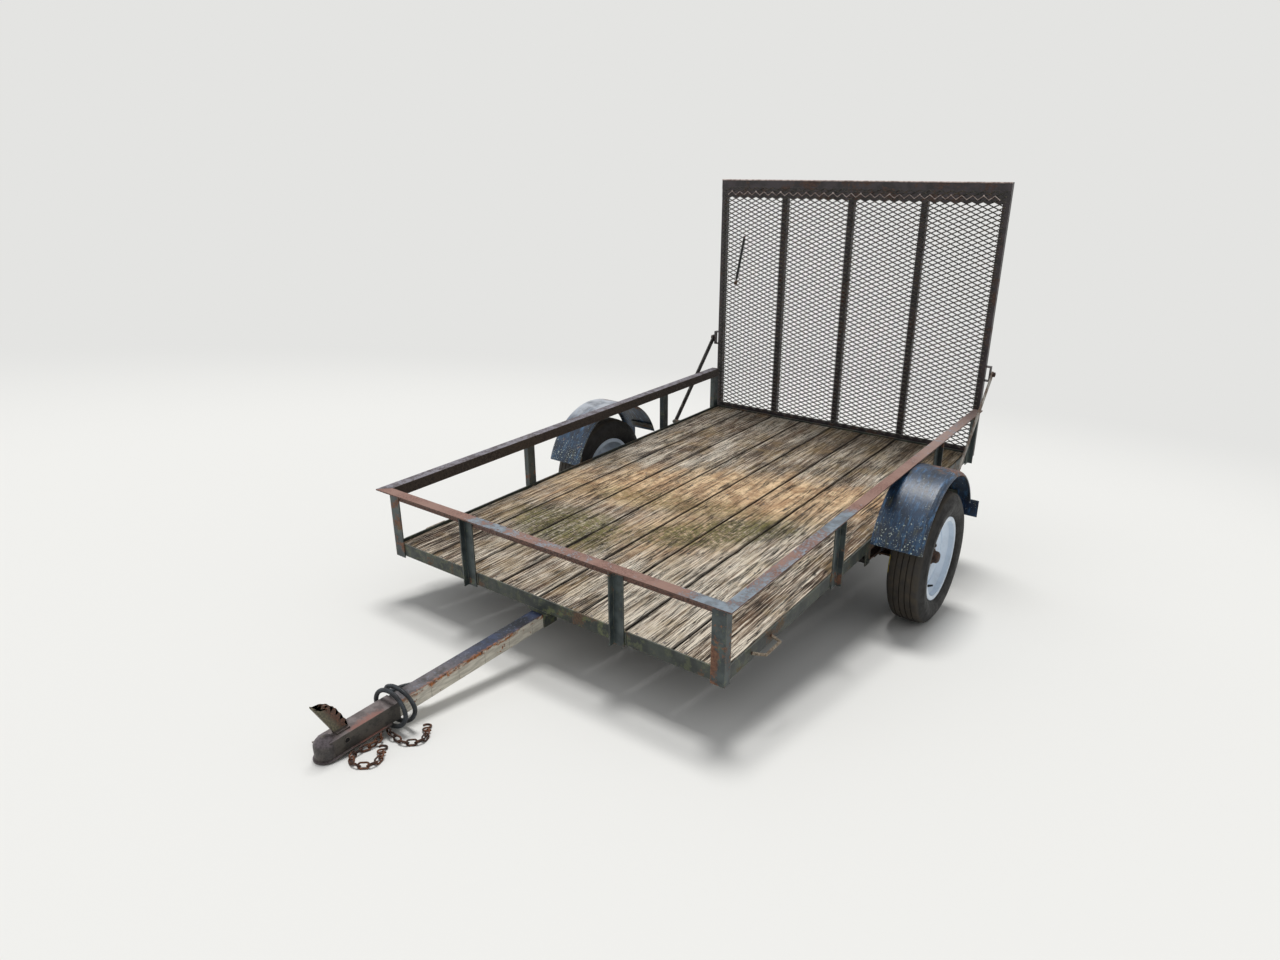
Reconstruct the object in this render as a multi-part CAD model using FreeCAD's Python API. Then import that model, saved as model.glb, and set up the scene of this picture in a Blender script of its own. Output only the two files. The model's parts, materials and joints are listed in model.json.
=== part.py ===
import FreeCAD, Part
import math
import os

os.makedirs("parts", exist_ok=True)

# Single-axle utility trailer with an angle-iron frame, a plank deck and a mesh ramp gate.
# Millimetres. The trailer is modelled level and at the end tipped nose-down on to the floor.
# Level axes: X to the trailer's left, Y to its rear, Z up. X 0 is the middle, Y 0 is the
# front face of the frame and Z 0 is the underside of the frame.

V = FreeCAD.Vector

# Frame: 2 in angle, upright leg outside, flat leg inward under the planks
BED_WIDTH = 1524.0
BED_LENGTH = 2438.0
FRAME_LEG = 50.8
FRAME_WALL = 4.8
CROSS_LEG = 38.0
CROSS_WALL = 4.8
CROSS_COUNT = 3

# Deck planks, lengthwise
PLANK_COUNT = 8
PLANK_THICK = 38.0
PLANK_GAP = 5.0
PLANK_END_GAP = 4.0
PLANK_EDGE_BREAK = 3.0

# Top rail: 1 3/4 in angle, upright leg over the frame's leg, flange outward
RAIL_HEIGHT = 279.4
RAIL_LEG = 44.5
RAIL_WALL = 4.8

# Posts: angles standing on the outside of the frame, under the rail's flange
POST_LEG = 44.5
POST_RETURN = 25.4
POST_WALL = 4.8
POST_DROP = 8.0
CORNER_POST_LEG = 50.8
CORNER_POST_RETURN = 31.8

# Tongue and its saddle
TONGUE_SIZE = 50.8
TONGUE_WALL = 4.0
TONGUE_TOP = -13.0
TONGUE_REACH = 790.0
SADDLE_WIDTH = 90.0
SADDLE_LENGTH = 64.0
SADDLE_EAR = 6.0

# Coupler for a 2 in ball: it laps the tongue's front end, and its skirt reaches below the tongue
COUPLER_WALL = 3.2
COUPLER_LAP = 170.0
COUPLER_SKIRT_DROP = 2.2
BALL_AHEAD = 62.0
BALL_DROP = 15.0
BALL_SOCKET = 26.2
DOME_WALL = 4.8
LIP_WIDTH = 5.0
LIP_THICK = 4.0
LATCH_WIDTH = 16.0
LATCH_FOOT_START = 34.0
LATCH_FOOT_LENGTH = 42.0
LATCH_FOOT_HEIGHT = 10.0
LATCH_ROLLER = 7.0
LATCH_ROLLER_PLACE = 18.0
LATCH_ROLLER_HEIGHT = 98.0
# Lever's side outline: place behind the ball's line, height over the shell's roof
LATCH_LEVER = [
    (40.0, 10.0),
    (66.0, 10.0),
    (55.0, 55.0),
    (23.0, 94.0),
    (-14.0, 118.0),
    (-20.0, 108.0),
    (10.0, 80.0),
    (28.0, 44.0),
]

# Axle, springs and wheels
AXLE_SETBACK = 988.0
AXLE_HEIGHT = -108.0
AXLE_RADIUS = 24.0
SPINDLE_RADIUS = 14.0
SPRING_INSET = 28.0
SPRING_WIDTH = 44.0
SPRING_SPAN = 660.0
SPRING_LEAF = 7.0
SPRING_EYE_HEIGHT = -40.0
SPRING_EYE_RADIUS = 15.0
SPRING_BOLT_RADIUS = 7.0
SPRING_BOLT_END = 6.0
# Leaves from the shortest to the longest: share of the span
SPRING_LEAVES = [0.45, 0.72, 1.0]
HANGER_WALL = 5.0
HANGER_HALF_LENGTH = 22.0
HANGER_DROP = 20.0
CLAMP_THICK = 8.0
CLAMP_ROD = 5.0
CLAMP_HALF_LENGTH = 44.0
CLAMP_LAP = 14.0
CLAMP_ROD_PLACE = 32.0
CLAMP_ROD_END = 10.0
PERCH_HALF_LENGTH = 40.0
PERCH_LAP = 6.0
WHEEL_OFFSET = 134.0
TYRE_RADIUS = 288.0
TYRE_WIDTH = 160.0
TYRE_SIDES = 48
# Tyre's outside over the rim's flange: share of the half width, share of the height to the tread
TYRE_OUTSIDE_SHARES = [(0.96, 0.23), (1.0, 0.49), (0.81, 0.88), (0.64, 0.98), (0.26, 1.0)]
TYRE_INSIDE_SHARES = (0.8, 0.57)
RIM_FLANGE = 182.4
RIM_FLANGE_HEIGHT = 16.0
RIM_WIDTH = 124.0
RIM_WELL = 142.0
RIM_WALL = 3.2
RIM_BEAD_SEAT = 22.0
RIM_WELL_SPAN = (-8.0, 16.0)
RIM_DRAFT = 2.0
# Rim disc's outer and back faces: offset outward from the middle, share of the barrel's inside radius
DISC_FACE = [(14.0, 1.0), (22.0, 0.85), (20.0, 0.69)]
DISC_BACK = [(16.0, 0.7), (17.0, 0.83), (4.0, 1.0)]
DISC_SEAT_RIM = 8.0
BEAD_GAP = 0.2
BEAD_HEEL = 2.0
HUB_RADIUS = 37.0
HUB_FLANGE_RADIUS = 68.0
HUB_FLANGE_THICK = 10.0
HUB_CAP_REACH = 53.0
HUB_CAP_RADIUS = 25.0
HUB_CAP_START = 32.0
HUB_CAP_EDGE = 6.0
HUB_BORE_END = 28.0
HUB_TAPER = 4.0
HUB_PILOT_GAP = 0.2
HUB_SWELL = 2.0
HUB_WEB_LENGTH = 18.0
HUB_WEB_RISE = 8.0
HUB_INNER_REACH = 48.0
HUB_AXLE_LAP = 10.0
LUG_CIRCLE = 50.8
LUG_COUNT = 4
LUG_TURN = 45.0
LUG_RADIUS = 9.5
LUG_HEIGHT = 14.0
STUD_RADIUS = 5.7
STUD_END = 4.0
STUD_HOLE = 6.6
SPINDLE_REACH = 26.0
RUNNING_GAP = 0.3

# Fenders: rolled sheet with a rounded outer shoulder
FENDER_SIDE_GAP = 2.0
FENDER_WIDTH = 204.0
FENDER_CENTRE_HEIGHT = -73.0
FENDER_RAIL_GAP = 1.0
FENDER_SHOULDER = 30.0
FENDER_DROP = 16.0
FENDER_SHEET = 2.5
FENDER_START_ANGLE = 21.0
FENDER_END_ANGLE = 162.0
FENDER_ARM = 30.0
FENDER_ARM_THICK = 6.0
FENDER_ARM_ANGLE = 6.0
FENDER_ARM_SHORT = 30.0
FENDER_STEPS = 4
SEAT_GAP = 0.35

# Ramp gate
GATE_OVERHANG = 18.0
GATE_BOTTOM = 20.0
GATE_TOP = 1365.0
GATE_STANDOFF = 15.0
GATE_BAR = 50.8
GATE_BAR_DEPTH = 32.0
GATE_WALL = 3.2
GATE_UPRIGHT = 32.0
GATE_UPRIGHTS = 5
MESH_THICK = 3.0
MESH_LONG = 152.0
MESH_SHORT = 70.0
MESH_STRAND = 9.0
MESH_LAP = 12.0
HINGE_SETBACK = 17.0
HINGE_PIN = 8.0
HINGE_BARREL = 13.0
HINGE_EAR = 12.0
HINGE_BARREL_LENGTH = 50.0
HINGE_INSET = 190.0
HINGE_GAP = 1.0
HINGE_PIN_END = 6.0

# Stays between frame and gate
STAY_GAP = 10.3
STAY_THICK = 6.0
STAY_WIDTH = 30.0
STAY_FOOT_SETBACK = 383.0
STAY_FOOT_HEIGHT = 26.0
STAY_HEAD_SETBACK = 10.0
STAY_HEAD_HEIGHT = 462.0
STAY_BOLT = 6.0
STAY_BOLT_GAP = 0.5
STAY_BOLT_END = 14.0
STAY_NUT = 11.0
STAY_NUT_END = 9.0
STAY_BOSS = 14.0
STAY_PIN_REACH = 5.0
STAY_PIN_END = 12.0
STAY_PIN_GAP = 1.0
STAY_KNOB = 12.0
STAY_KNOB_LENGTH = 10.0
STRAP_HEIGHT = 76.0
STRAP_SHIFT = 4.0
STRAP_WIDTH = 28.0
STRAP_WALL = 5.0

# Small pieces
LAMP_PLATE_WIDTH = 96.0
LAMP_PLATE_HEIGHT = 78.0
LAMP_PLATE_THICK = 4.0
LAMP_PLATE_REACH = 32.0
LAMP_PLATE_LAP = 4.0
LOOP_ROD = 5.0
LOOP_REACH = 42.0
LOOP_LENGTH = 130.0
LOOP_PLACE = 165.0
LOOP_SLOPE = 18.0
# Rod that hangs on the gate's mesh: its ends' places in from the gate's side and down from its top
ROD_RADIUS = 4.0
ROD_TOP = (165.0, 303.0)
ROD_FOOT = (119.0, 557.0)
ROD_KNOB = 9.0
ROD_KNOB_LENGTH = 18.0

# Safety chains: links of bent wire from two bolts under the tongue, laid on the floor
CHAIN_WIRE = 2.75
CHAIN_INSIDE_LENGTH = 24.1
CHAIN_INSIDE_WIDTH = 10.4
CHAIN_SLACK = 1.25
CHAIN_SIDES = 5
# Round end of a link: shares of the bend's radius, along the link and across it
LINK_END_SHARES = [(0.41, -1.0), (1.0, -0.41), (1.0, 0.41), (0.41, 1.0)]
CHAIN_REST = 8.7
CHAIN_FLOOR_GAP = 0.3
CHAIN_BOLT_RADIUS = 3.0
CHAIN_BOLT_LENGTH = 17.5
CHAIN_BOLT_HEAD = 8.0
CHAIN_BOLT_HEAD_THICK = 5.0
CHAIN_BOLT_SIDES = 6
CHAIN_START = 8.6
CHAIN_BOLTS_BEHIND = [100.0, 124.0]
# Links of each chain: way it points in degrees from the trailer's left towards its rear, height over
# a link at rest, roll in degrees
CHAIN_LINKS = [
    [
        (0, 7.9, 0),
        (-35, 7.2, -85),
        (-65, 4.6, 8),
        (-92, 2.2, -75),
        (-104, 0.2, 40),
        (-84, 0.0, -45),
        (-60, 0.0, 45),
        (-25, 0.0, -45),
        (10, 0.0, 45),
        (45, 0.0, -45),
        (82, 0.0, 45),
        (112, 0.0, -45),
        (138, 0.0, 45),
    ],
    [
        (0, 11.3, 0),
        (-16, 10.2, -85),
        (-4, 6.9, 8),
        (4, 3.6, -75),
        (22, 0.6, 38),
        (50, 0.0, -45),
        (82, 0.0, 45),
        (115, 0.0, -45),
        (140, 0.0, 45),
    ],
]
HOOK_WIRE = 2.6
HOOK_RADIUS = 12.0
HOOK_STEP_ANGLE = 30
HOOK_STEPS = 8

# Wiring lead wound round the tongue: its coil is a ring about the turns
LEAD_RADIUS = 7.0
LEAD_FLOOR_GAP = 0.4
GROMMET_RADIUS = 11.0
GROMMET_LENGTH = 22.0
GROMMET_LIP = 1.0
GROMMET_BEHIND = 310.0
GROMMET_ANGLE = 30.0
COIL_BEHIND = 135.0
COIL_LENGTH = 70.0
COIL_SHIFT = 6.0
COIL_OUTER = (74.0, 67.0)
COIL_INNER = (55.0, 48.0)
# Where the lead meets the coil's rear face, and where its tail leaves the front face: across, height
LEAD_ENTRY = (-59.5, -33.0)
LEAD_LEAVES = (-41.0, 23.5)
LEAD_RUN = 24.0
LEAD_LAST_RUN = 32.0
LEAD_TAIL_RUN = 30.0
# Tail's bends on the floor: across, way ahead of the coil
LEAD_TAIL = [(-46.0, 62.0), (-54.0, 94.0), (-63.0, 126.0), (-69.0, 158.0)]
PLUG_LENGTH = 45.0
PLUG_WIDTH = 26.0
PLUG_THICK = 12.0

half_bed = BED_WIDTH / 2
frame_inner = half_bed - FRAME_LEG
rail_tip = half_bed - RAIL_WALL + RAIL_LEG
cross_pitch = BED_LENGTH / (CROSS_COUNT + 1)
cross_places = [cross_pitch * (index + 1) - CROSS_LEG / 2 for index in range(CROSS_COUNT)]
tongue_half = TONGUE_SIZE / 2
tongue_bottom = TONGUE_TOP - TONGUE_SIZE
tongue_front = -TONGUE_REACH
coupler_tail = tongue_front + COUPLER_LAP
coupler_roof = TONGUE_TOP + COUPLER_WALL
skirt = tongue_bottom - COUPLER_SKIRT_DROP
ball_place = tongue_front - BALL_AHEAD
ball_height = TONGUE_TOP - BALL_DROP
dome_radius = BALL_SOCKET + DOME_WALL
lip_radius = dome_radius + LIP_WIDTH
axle_place = BED_LENGTH - AXLE_SETBACK
axle_top = AXLE_HEIGHT + AXLE_RADIUS
spring_place = half_bed - SPRING_INSET
wheel_place = half_bed + WHEEL_OFFSET
fender_inner = half_bed + FENDER_SIDE_GAP
fender_outer = fender_inner + FENDER_WIDTH
fender_radius = RAIL_HEIGHT - RAIL_WALL - FENDER_RAIL_GAP - FENDER_CENTRE_HEIGHT
gate_half = half_bed + GATE_OVERHANG
gate_face = BED_LENGTH + GATE_STANDOFF
hinge_place = gate_face + HINGE_SETBACK
hinge_height = GATE_BOTTOM - HINGE_BARREL
stay_inner = rail_tip + STAY_GAP
stay_foot_place = BED_LENGTH - STAY_FOOT_SETBACK
stay_head_place = gate_face + STAY_HEAD_SETBACK

# The parked trailer is tipped nose-down about the axle, with the coupler's lip and both tyres on the floor
contact_reach = axle_place - (ball_place - lip_radius)
contact_rise = skirt - AXLE_HEIGHT
contact_span = math.hypot(contact_reach, contact_rise)
pitch = math.degrees(math.atan2(contact_rise, contact_reach) + math.asin(TYRE_RADIUS / contact_span))
floor_up = V(0, math.sin(math.radians(pitch)), math.cos(math.radians(pitch)))


def on_floor(x, place, height):
    """A point over the floor that the parked trailer stands on, at a place along the level trailer."""
    drop = (place - (ball_place - lip_radius)) * math.tan(math.radians(pitch))
    return V(x, place, skirt - drop) + floor_up * height


def box(x, y, z):
    """A box between the low and high values of each axis."""
    corner = V(min(x), min(y), min(z))
    return Part.makeBox(abs(x[1] - x[0]), abs(y[1] - y[0]), abs(z[1] - z[0]), corner)


def rod(radius, start, end):
    """A round bar from start to end."""
    run = V(*end) - V(*start)
    return Part.makeCylinder(radius, run.Length, V(*start), run)


def prism(points, run):
    """A flat outline pushed along run."""
    wire = Part.makePolygon([V(*p) for p in points + points[:1]])
    return Part.Face(wire).extrude(V(*run))


def fuse(pieces):
    """One solid from pieces that overlap or share faces."""
    return pieces[0].fuse(pieces[1:]).removeSplitter()


def mirrored(shape):
    """The same piece on the other side of the trailer."""
    return shape.mirror(V(0, 0, 0), V(1, 0, 0))


def closed_solid(faces):
    """A solid from faces that meet edge to edge, whichever way they point."""
    shell = Part.Shell(faces)
    solid = Part.Solid(shell)
    if solid.Volume < 0:
        solid.reverse()
    return solid


def bent_wire(points, radius, sides, across, closed):
    """A wire of a many-sided section along points that lie in the plane with the normal across."""
    count = len(points)
    rings = []
    for index, point in enumerate(points):
        before = points[index - 1] if closed or index > 0 else None
        after = points[(index + 1) % count] if closed or index < count - 1 else None
        inward = (after - point if before is None else point - before).normalize()
        onward = inward if after is None else (after - point).normalize()
        mean = (inward + onward).normalize()
        outward = mean.cross(across).normalize() * (1 / mean.dot(onward))
        ring = []
        for side in range(sides):
            turn = 2 * math.pi * side / sides
            ring.append(point + outward * (radius * math.cos(turn)) + across * (radius * math.sin(turn)))
        rings.append(ring)
    faces = []
    for index in range(count if closed else count - 1):
        here = rings[index]
        there = rings[(index + 1) % count]
        for side in range(sides):
            corners = [here[side - 1], here[side], there[side], there[side - 1]]
            faces.append(Part.Face(Part.makePolygon(corners + corners[:1])))
    if not closed:
        for ring in (rings[0], rings[-1]):
            faces.append(Part.Face(Part.makePolygon(ring + ring[:1])))
    return closed_solid(faces)


def both_sides(shape):
    return Part.makeCompound([shape, mirrored(shape)])


nodes = {}
cord_nodes = []


def frame_rails():
    """Side rails run through; front and rear rails fit between them."""
    side = prism(
        [
            (half_bed, 0, 0),
            (half_bed, 0, FRAME_LEG),
            (half_bed - FRAME_WALL, 0, FRAME_LEG),
            (half_bed - FRAME_WALL, 0, FRAME_WALL),
            (frame_inner, 0, FRAME_WALL),
            (frame_inner, 0, 0),
        ],
        (0, BED_LENGTH, 0),
    )
    nodes["frame_rail_left"] = side
    nodes["frame_rail_right"] = mirrored(side)
    across = half_bed - FRAME_WALL
    for name, face, inward in (("frame_rail_front", 0, 1), ("frame_rail_rear", BED_LENGTH, -1)):
        wall = box((-across, across), (face, face + inward * FRAME_WALL), (FRAME_WALL, FRAME_LEG))
        shelf = box((-frame_inner, frame_inner), (face, face + inward * FRAME_LEG), (0, FRAME_WALL))
        nodes[name] = fuse([wall, shelf])


def crossmembers():
    """Angles between the side rails, flat leg level with the rails' shelves."""
    bars = []
    for place in cross_places:
        across = (-frame_inner, frame_inner)
        shelf = box(across, (place, place + CROSS_LEG), (FRAME_WALL - CROSS_WALL, FRAME_WALL))
        leg = box(across, (place, place + CROSS_WALL), (FRAME_WALL - CROSS_LEG, FRAME_WALL))
        bars.append(fuse([shelf, leg]))
    nodes["crossmembers"] = Part.makeCompound(bars)


def deck():
    """Planks side by side on the shelves, with their long top edges broken."""
    room = BED_WIDTH - 2 * FRAME_WALL - (PLANK_COUNT + 1) * PLANK_GAP
    width = room / PLANK_COUNT
    start = FRAME_WALL + PLANK_END_GAP
    top = FRAME_WALL + PLANK_THICK
    planks = []
    for index in range(PLANK_COUNT):
        low = -half_bed + FRAME_WALL + PLANK_GAP + index * (width + PLANK_GAP)
        high = low + width
        cut = PLANK_EDGE_BREAK
        outline = [
            (low, start, FRAME_WALL),
            (high, start, FRAME_WALL),
            (high, start, top - cut),
            (high - cut, start, top),
            (low + cut, start, top),
            (low, start, top - cut),
        ]
        planks.append(prism(outline, (0, BED_LENGTH - 2 * start, 0)))
    nodes["deck_planks"] = Part.makeCompound(planks)


def top_rails():
    """Side and front rails with mitred corners."""
    low = RAIL_HEIGHT - RAIL_LEG
    flange = RAIL_HEIGHT - RAIL_WALL
    inner = half_bed - RAIL_WALL
    outline = [
        (inner, low),
        (half_bed, low),
        (half_bed, flange),
        (rail_tip, flange),
        (rail_tip, RAIL_HEIGHT),
        (inner, RAIL_HEIGHT),
    ]
    reach = rail_tip - half_bed
    side = prism([(x, -reach, z) for x, z in outline], (0, BED_LENGTH + reach, 0))
    front = prism([(-rail_tip, half_bed - x, z) for x, z in outline], (2 * rail_tip, 0, 0))
    far = 4 * half_bed
    beyond = [(half_bed - far, far, -far), (half_bed + far, far, -far), (half_bed + far, -far, -far)]
    wedge = prism(beyond, (0, 0, 2 * far))
    side = side.common(wedge)
    front = front.cut(wedge).cut(mirrored(wedge))
    nodes["top_rail_left"] = side
    nodes["top_rail_right"] = mirrored(side)
    nodes["top_rail_front"] = front


def post(place, side, leg, turned_back):
    """A post on the side rail: side is 1 for left and -1 for right."""
    bottom = -POST_DROP
    top = RAIL_HEIGHT - RAIL_WALL
    flat = box((half_bed, half_bed + POST_WALL), (place, place + leg), (bottom, top))
    edge = place + leg - POST_WALL if turned_back else place
    fin = box((half_bed, half_bed + POST_RETURN), (edge, edge + POST_WALL), (bottom, top))
    shape = fuse([flat, fin])
    return shape if side > 0 else mirrored(shape)


# Side posts: node, side, front edge's share of the room along the bed, whether the fin is at the rear edge
SIDE_POST_SHARES = [
    ("side_posts_left", 1, 0.3142, True),
    ("side_posts_left", 1, 0.7696, True),
    ("side_posts_right", -1, 0.3192, False),
    ("side_posts_right", -1, 0.7754, False),
    ("rear_posts", 1, 1.0, True),
    ("rear_posts", -1, 1.0, False),
]
# Front posts: place of the fin's edge across the trailer
FRONT_POSTS = [-348.0, 342.0]


def posts():
    groups = {}
    for name, side, share, turned_back in SIDE_POST_SHARES:
        place = share * (BED_LENGTH - POST_LEG)
        groups.setdefault(name, []).append(post(place, side, POST_LEG, turned_back))
    bottom = -POST_DROP
    top = RAIL_HEIGHT - RAIL_WALL
    for place in FRONT_POSTS:
        flat = box((place, place + POST_LEG), (-POST_WALL, 0), (bottom, top))
        fin = box((place, place + POST_WALL), (-POST_RETURN, 0), (bottom, top))
        groups.setdefault("front_posts", []).append(fuse([flat, fin]))
    outer = half_bed + POST_WALL
    face = box((outer - CORNER_POST_LEG, outer), (-POST_WALL, 0), (bottom, top))
    wrap = box((half_bed, outer), (-POST_WALL, CORNER_POST_RETURN - POST_WALL), (bottom, top))
    corner = fuse([face, wrap])
    groups["corner_posts"] = [corner, mirrored(corner)]
    for name, pieces in groups.items():
        nodes[name] = Part.makeCompound(pieces)


def tongue():
    """A square tube under the frame, welded to the first crossmember."""
    outer = box((-tongue_half, tongue_half), (tongue_front, cross_places[0]), (tongue_bottom, TONGUE_TOP))
    bore = tongue_half - TONGUE_WALL
    inner = box(
        (-bore, bore),
        (tongue_front, cross_places[0]),
        (tongue_bottom + TONGUE_WALL, TONGUE_TOP - TONGUE_WALL),
    )
    nodes["tongue"] = outer.cut(inner)
    pad = box((-SADDLE_WIDTH / 2, SADDLE_WIDTH / 2), (0, SADDLE_LENGTH), (TONGUE_TOP, 0))
    ear = box((tongue_half, tongue_half + SADDLE_EAR), (0, SADDLE_LENGTH), (tongue_bottom, TONGUE_TOP))
    nodes["tongue_saddle"] = fuse([pad, ear, mirrored(ear)])


def coupler():
    """A stamped channel that ends in a domed ball socket, open below."""
    half = tongue_half + COUPLER_WALL
    shell = box((-half, half), (ball_place, coupler_tail), (skirt, coupler_roof))
    shell = fuse([
        shell,
        Part.makeSphere(dome_radius, V(0, ball_place, ball_height)),
        rod(dome_radius, (0, ball_place, skirt), (0, ball_place, ball_height)),
        rod(lip_radius, (0, ball_place, skirt), (0, ball_place, skirt + LIP_THICK)),
        box(
            (-lip_radius, lip_radius),
            (ball_place, coupler_tail - lip_radius),
            (skirt, skirt + LIP_THICK),
        ),
    ])
    throat = ball_place + BALL_SOCKET / 2
    shell = shell.cut(box((-tongue_half, tongue_half), (throat, coupler_tail), (skirt, TONGUE_TOP)))
    shell = shell.cut(Part.makeSphere(BALL_SOCKET, V(0, ball_place, ball_height)))
    shell = shell.cut(rod(BALL_SOCKET, (0, ball_place, skirt), (0, ball_place, ball_height)))
    nodes["coupler"] = shell
    foot_start = ball_place + LATCH_FOOT_START
    length = (foot_start, foot_start + LATCH_FOOT_LENGTH)
    foot = box((-LATCH_WIDTH / 2, LATCH_WIDTH / 2), length, (coupler_roof, coupler_roof + LATCH_FOOT_HEIGHT))
    lever = [(-LATCH_WIDTH / 4, ball_place + y, coupler_roof + z) for y, z in LATCH_LEVER]
    blade = prism(lever, (LATCH_WIDTH / 2, 0, 0))
    roller_line = (ball_place + LATCH_ROLLER_PLACE, coupler_roof + LATCH_ROLLER_HEIGHT)
    roller = rod(LATCH_ROLLER, (-LATCH_WIDTH, *roller_line), (LATCH_WIDTH, *roller_line))
    nodes["coupler_latch"] = fuse([foot, blade, roller])


def axle():
    end = wheel_place - HUB_INNER_REACH - HUB_AXLE_LAP
    beam = rod(AXLE_RADIUS, (-end, axle_place, AXLE_HEIGHT), (end, axle_place, AXLE_HEIGHT))
    tip = wheel_place + SPINDLE_REACH
    spindle = rod(SPINDLE_RADIUS, (-tip, axle_place, AXLE_HEIGHT), (tip, axle_place, AXLE_HEIGHT))
    nodes["axle"] = fuse([beam, spindle])


def springs():
    """Three leaves, eyes at both ends of the longest, on hangers under the frame."""
    x = (spring_place - SPRING_WIDTH / 2, spring_place + SPRING_WIDTH / 2)
    half_span = SPRING_SPAN / 2
    seat = axle_top + CLAMP_THICK
    eye_low = SPRING_EYE_HEIGHT - SPRING_EYE_RADIUS

    def leaf(reach, bottom, rise):
        """A thin arc from end to end through the seat."""
        def curve(offset):
            return Part.Arc(
                V(x[0], axle_place - reach, bottom + rise + offset),
                V(x[0], axle_place, bottom + offset),
                V(x[0], axle_place + reach, bottom + rise + offset),
            ).toShape()
        low = curve(0)
        high = curve(SPRING_LEAF)
        a = Part.makeLine(low.Vertexes[0].Point, high.Vertexes[0].Point)
        b = Part.makeLine(low.Vertexes[1].Point, high.Vertexes[1].Point)
        wire = Part.Wire(Part.__sortEdges__([low, b, high, a]))
        return Part.Face(wire).extrude(V(SPRING_WIDTH, 0, 0))

    rise = eye_low - (seat + 2 * SPRING_LEAF)
    pack = []
    for index, share in enumerate(SPRING_LEAVES):
        reach = half_span * share
        pack.append(leaf(reach, seat + index * SPRING_LEAF, rise * share * share))
    for end in (-1, 1):
        place = axle_place + end * half_span
        eye = (place, SPRING_EYE_HEIGHT)
        pack.append(rod(SPRING_EYE_RADIUS, (x[0], *eye), (x[1], *eye)))
    spring = fuse(pack)
    hangers = []
    for end in (-1, 1):
        place = axle_place + end * half_span
        bolt = rod(
            SPRING_BOLT_RADIUS,
            (x[0] - HANGER_WALL - SPRING_BOLT_END, place, SPRING_EYE_HEIGHT),
            (x[1] + HANGER_WALL + SPRING_BOLT_END, place, SPRING_EYE_HEIGHT),
        )
        spring = spring.cut(bolt)
        length = (place - HANGER_HALF_LENGTH, place + HANGER_HALF_LENGTH)
        height = (SPRING_EYE_HEIGHT - HANGER_DROP, -HANGER_WALL)
        cheeks = [box((wall, wall + HANGER_WALL), length, height) for wall in (x[0] - HANGER_WALL, x[1])]
        roof = box((x[0] - HANGER_WALL, x[1] + HANGER_WALL), length, (-HANGER_WALL, 0))
        hangers.append(fuse(cheeks + [roof, bolt]))
    nodes["leaf_spring_left"] = spring
    nodes["leaf_spring_right"] = mirrored(spring)
    nodes["spring_hangers"] = Part.makeCompound(hangers + [mirrored(h) for h in hangers])
    low = AXLE_HEIGHT - AXLE_RADIUS
    foot = low - CLAMP_THICK
    perch_length = (axle_place - PERCH_HALF_LENGTH, axle_place + PERCH_HALF_LENGTH)
    perch = box(x, perch_length, (axle_top - PERCH_LAP, seat))
    perch = perch.cut(rod(AXLE_RADIUS, (x[0], axle_place, AXLE_HEIGHT), (x[1], axle_place, AXLE_HEIGHT)))
    plate_length = (axle_place - CLAMP_HALF_LENGTH, axle_place + CLAMP_HALF_LENGTH)
    plate = box((x[0] - CLAMP_LAP, x[1] + CLAMP_LAP), plate_length, (foot, low))
    inner = x[0] - CLAMP_ROD
    outer = x[1] + CLAMP_ROD
    bend = seat + len(SPRING_LEAVES) * SPRING_LEAF + SEAT_GAP + CLAMP_ROD
    bolts = []
    for place in (axle_place - CLAMP_ROD_PLACE, axle_place + CLAMP_ROD_PLACE):
        for side in (inner, outer):
            bolts.append(rod(CLAMP_ROD, (side, place, foot - CLAMP_ROD_END), (side, place, bend)))
        bolts.append(rod(CLAMP_ROD, (inner, place, bend), (outer, place, bend)))
    nodes["axle_clamps"] = both_sides(perch.fuse(plate.fuse(bolts)))


def lathe(profile, sides):
    """A closed ring of flat facets about the axle: profile holds offsets from the wheel and radii."""
    swell = 1 / math.cos(math.pi / sides)
    start = math.radians(-90 - pitch)
    rings = []
    for index in range(sides):
        turn = start + 2 * math.pi * (index + 0.5) / sides
        ring = []
        for x, r in profile:
            y = axle_place + r * swell * math.cos(turn)
            ring.append(V(wheel_place + x, y, AXLE_HEIGHT + r * swell * math.sin(turn)))
        rings.append(ring)
    faces = []
    for index in range(sides):
        here = rings[index - 1]
        there = rings[index]
        for step in range(len(profile)):
            corners = [here[step - 1], here[step], there[step], there[step - 1]]
            faces.append(Part.Face(Part.makePolygon(corners + corners[:1])))
    return closed_solid(faces)


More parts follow.
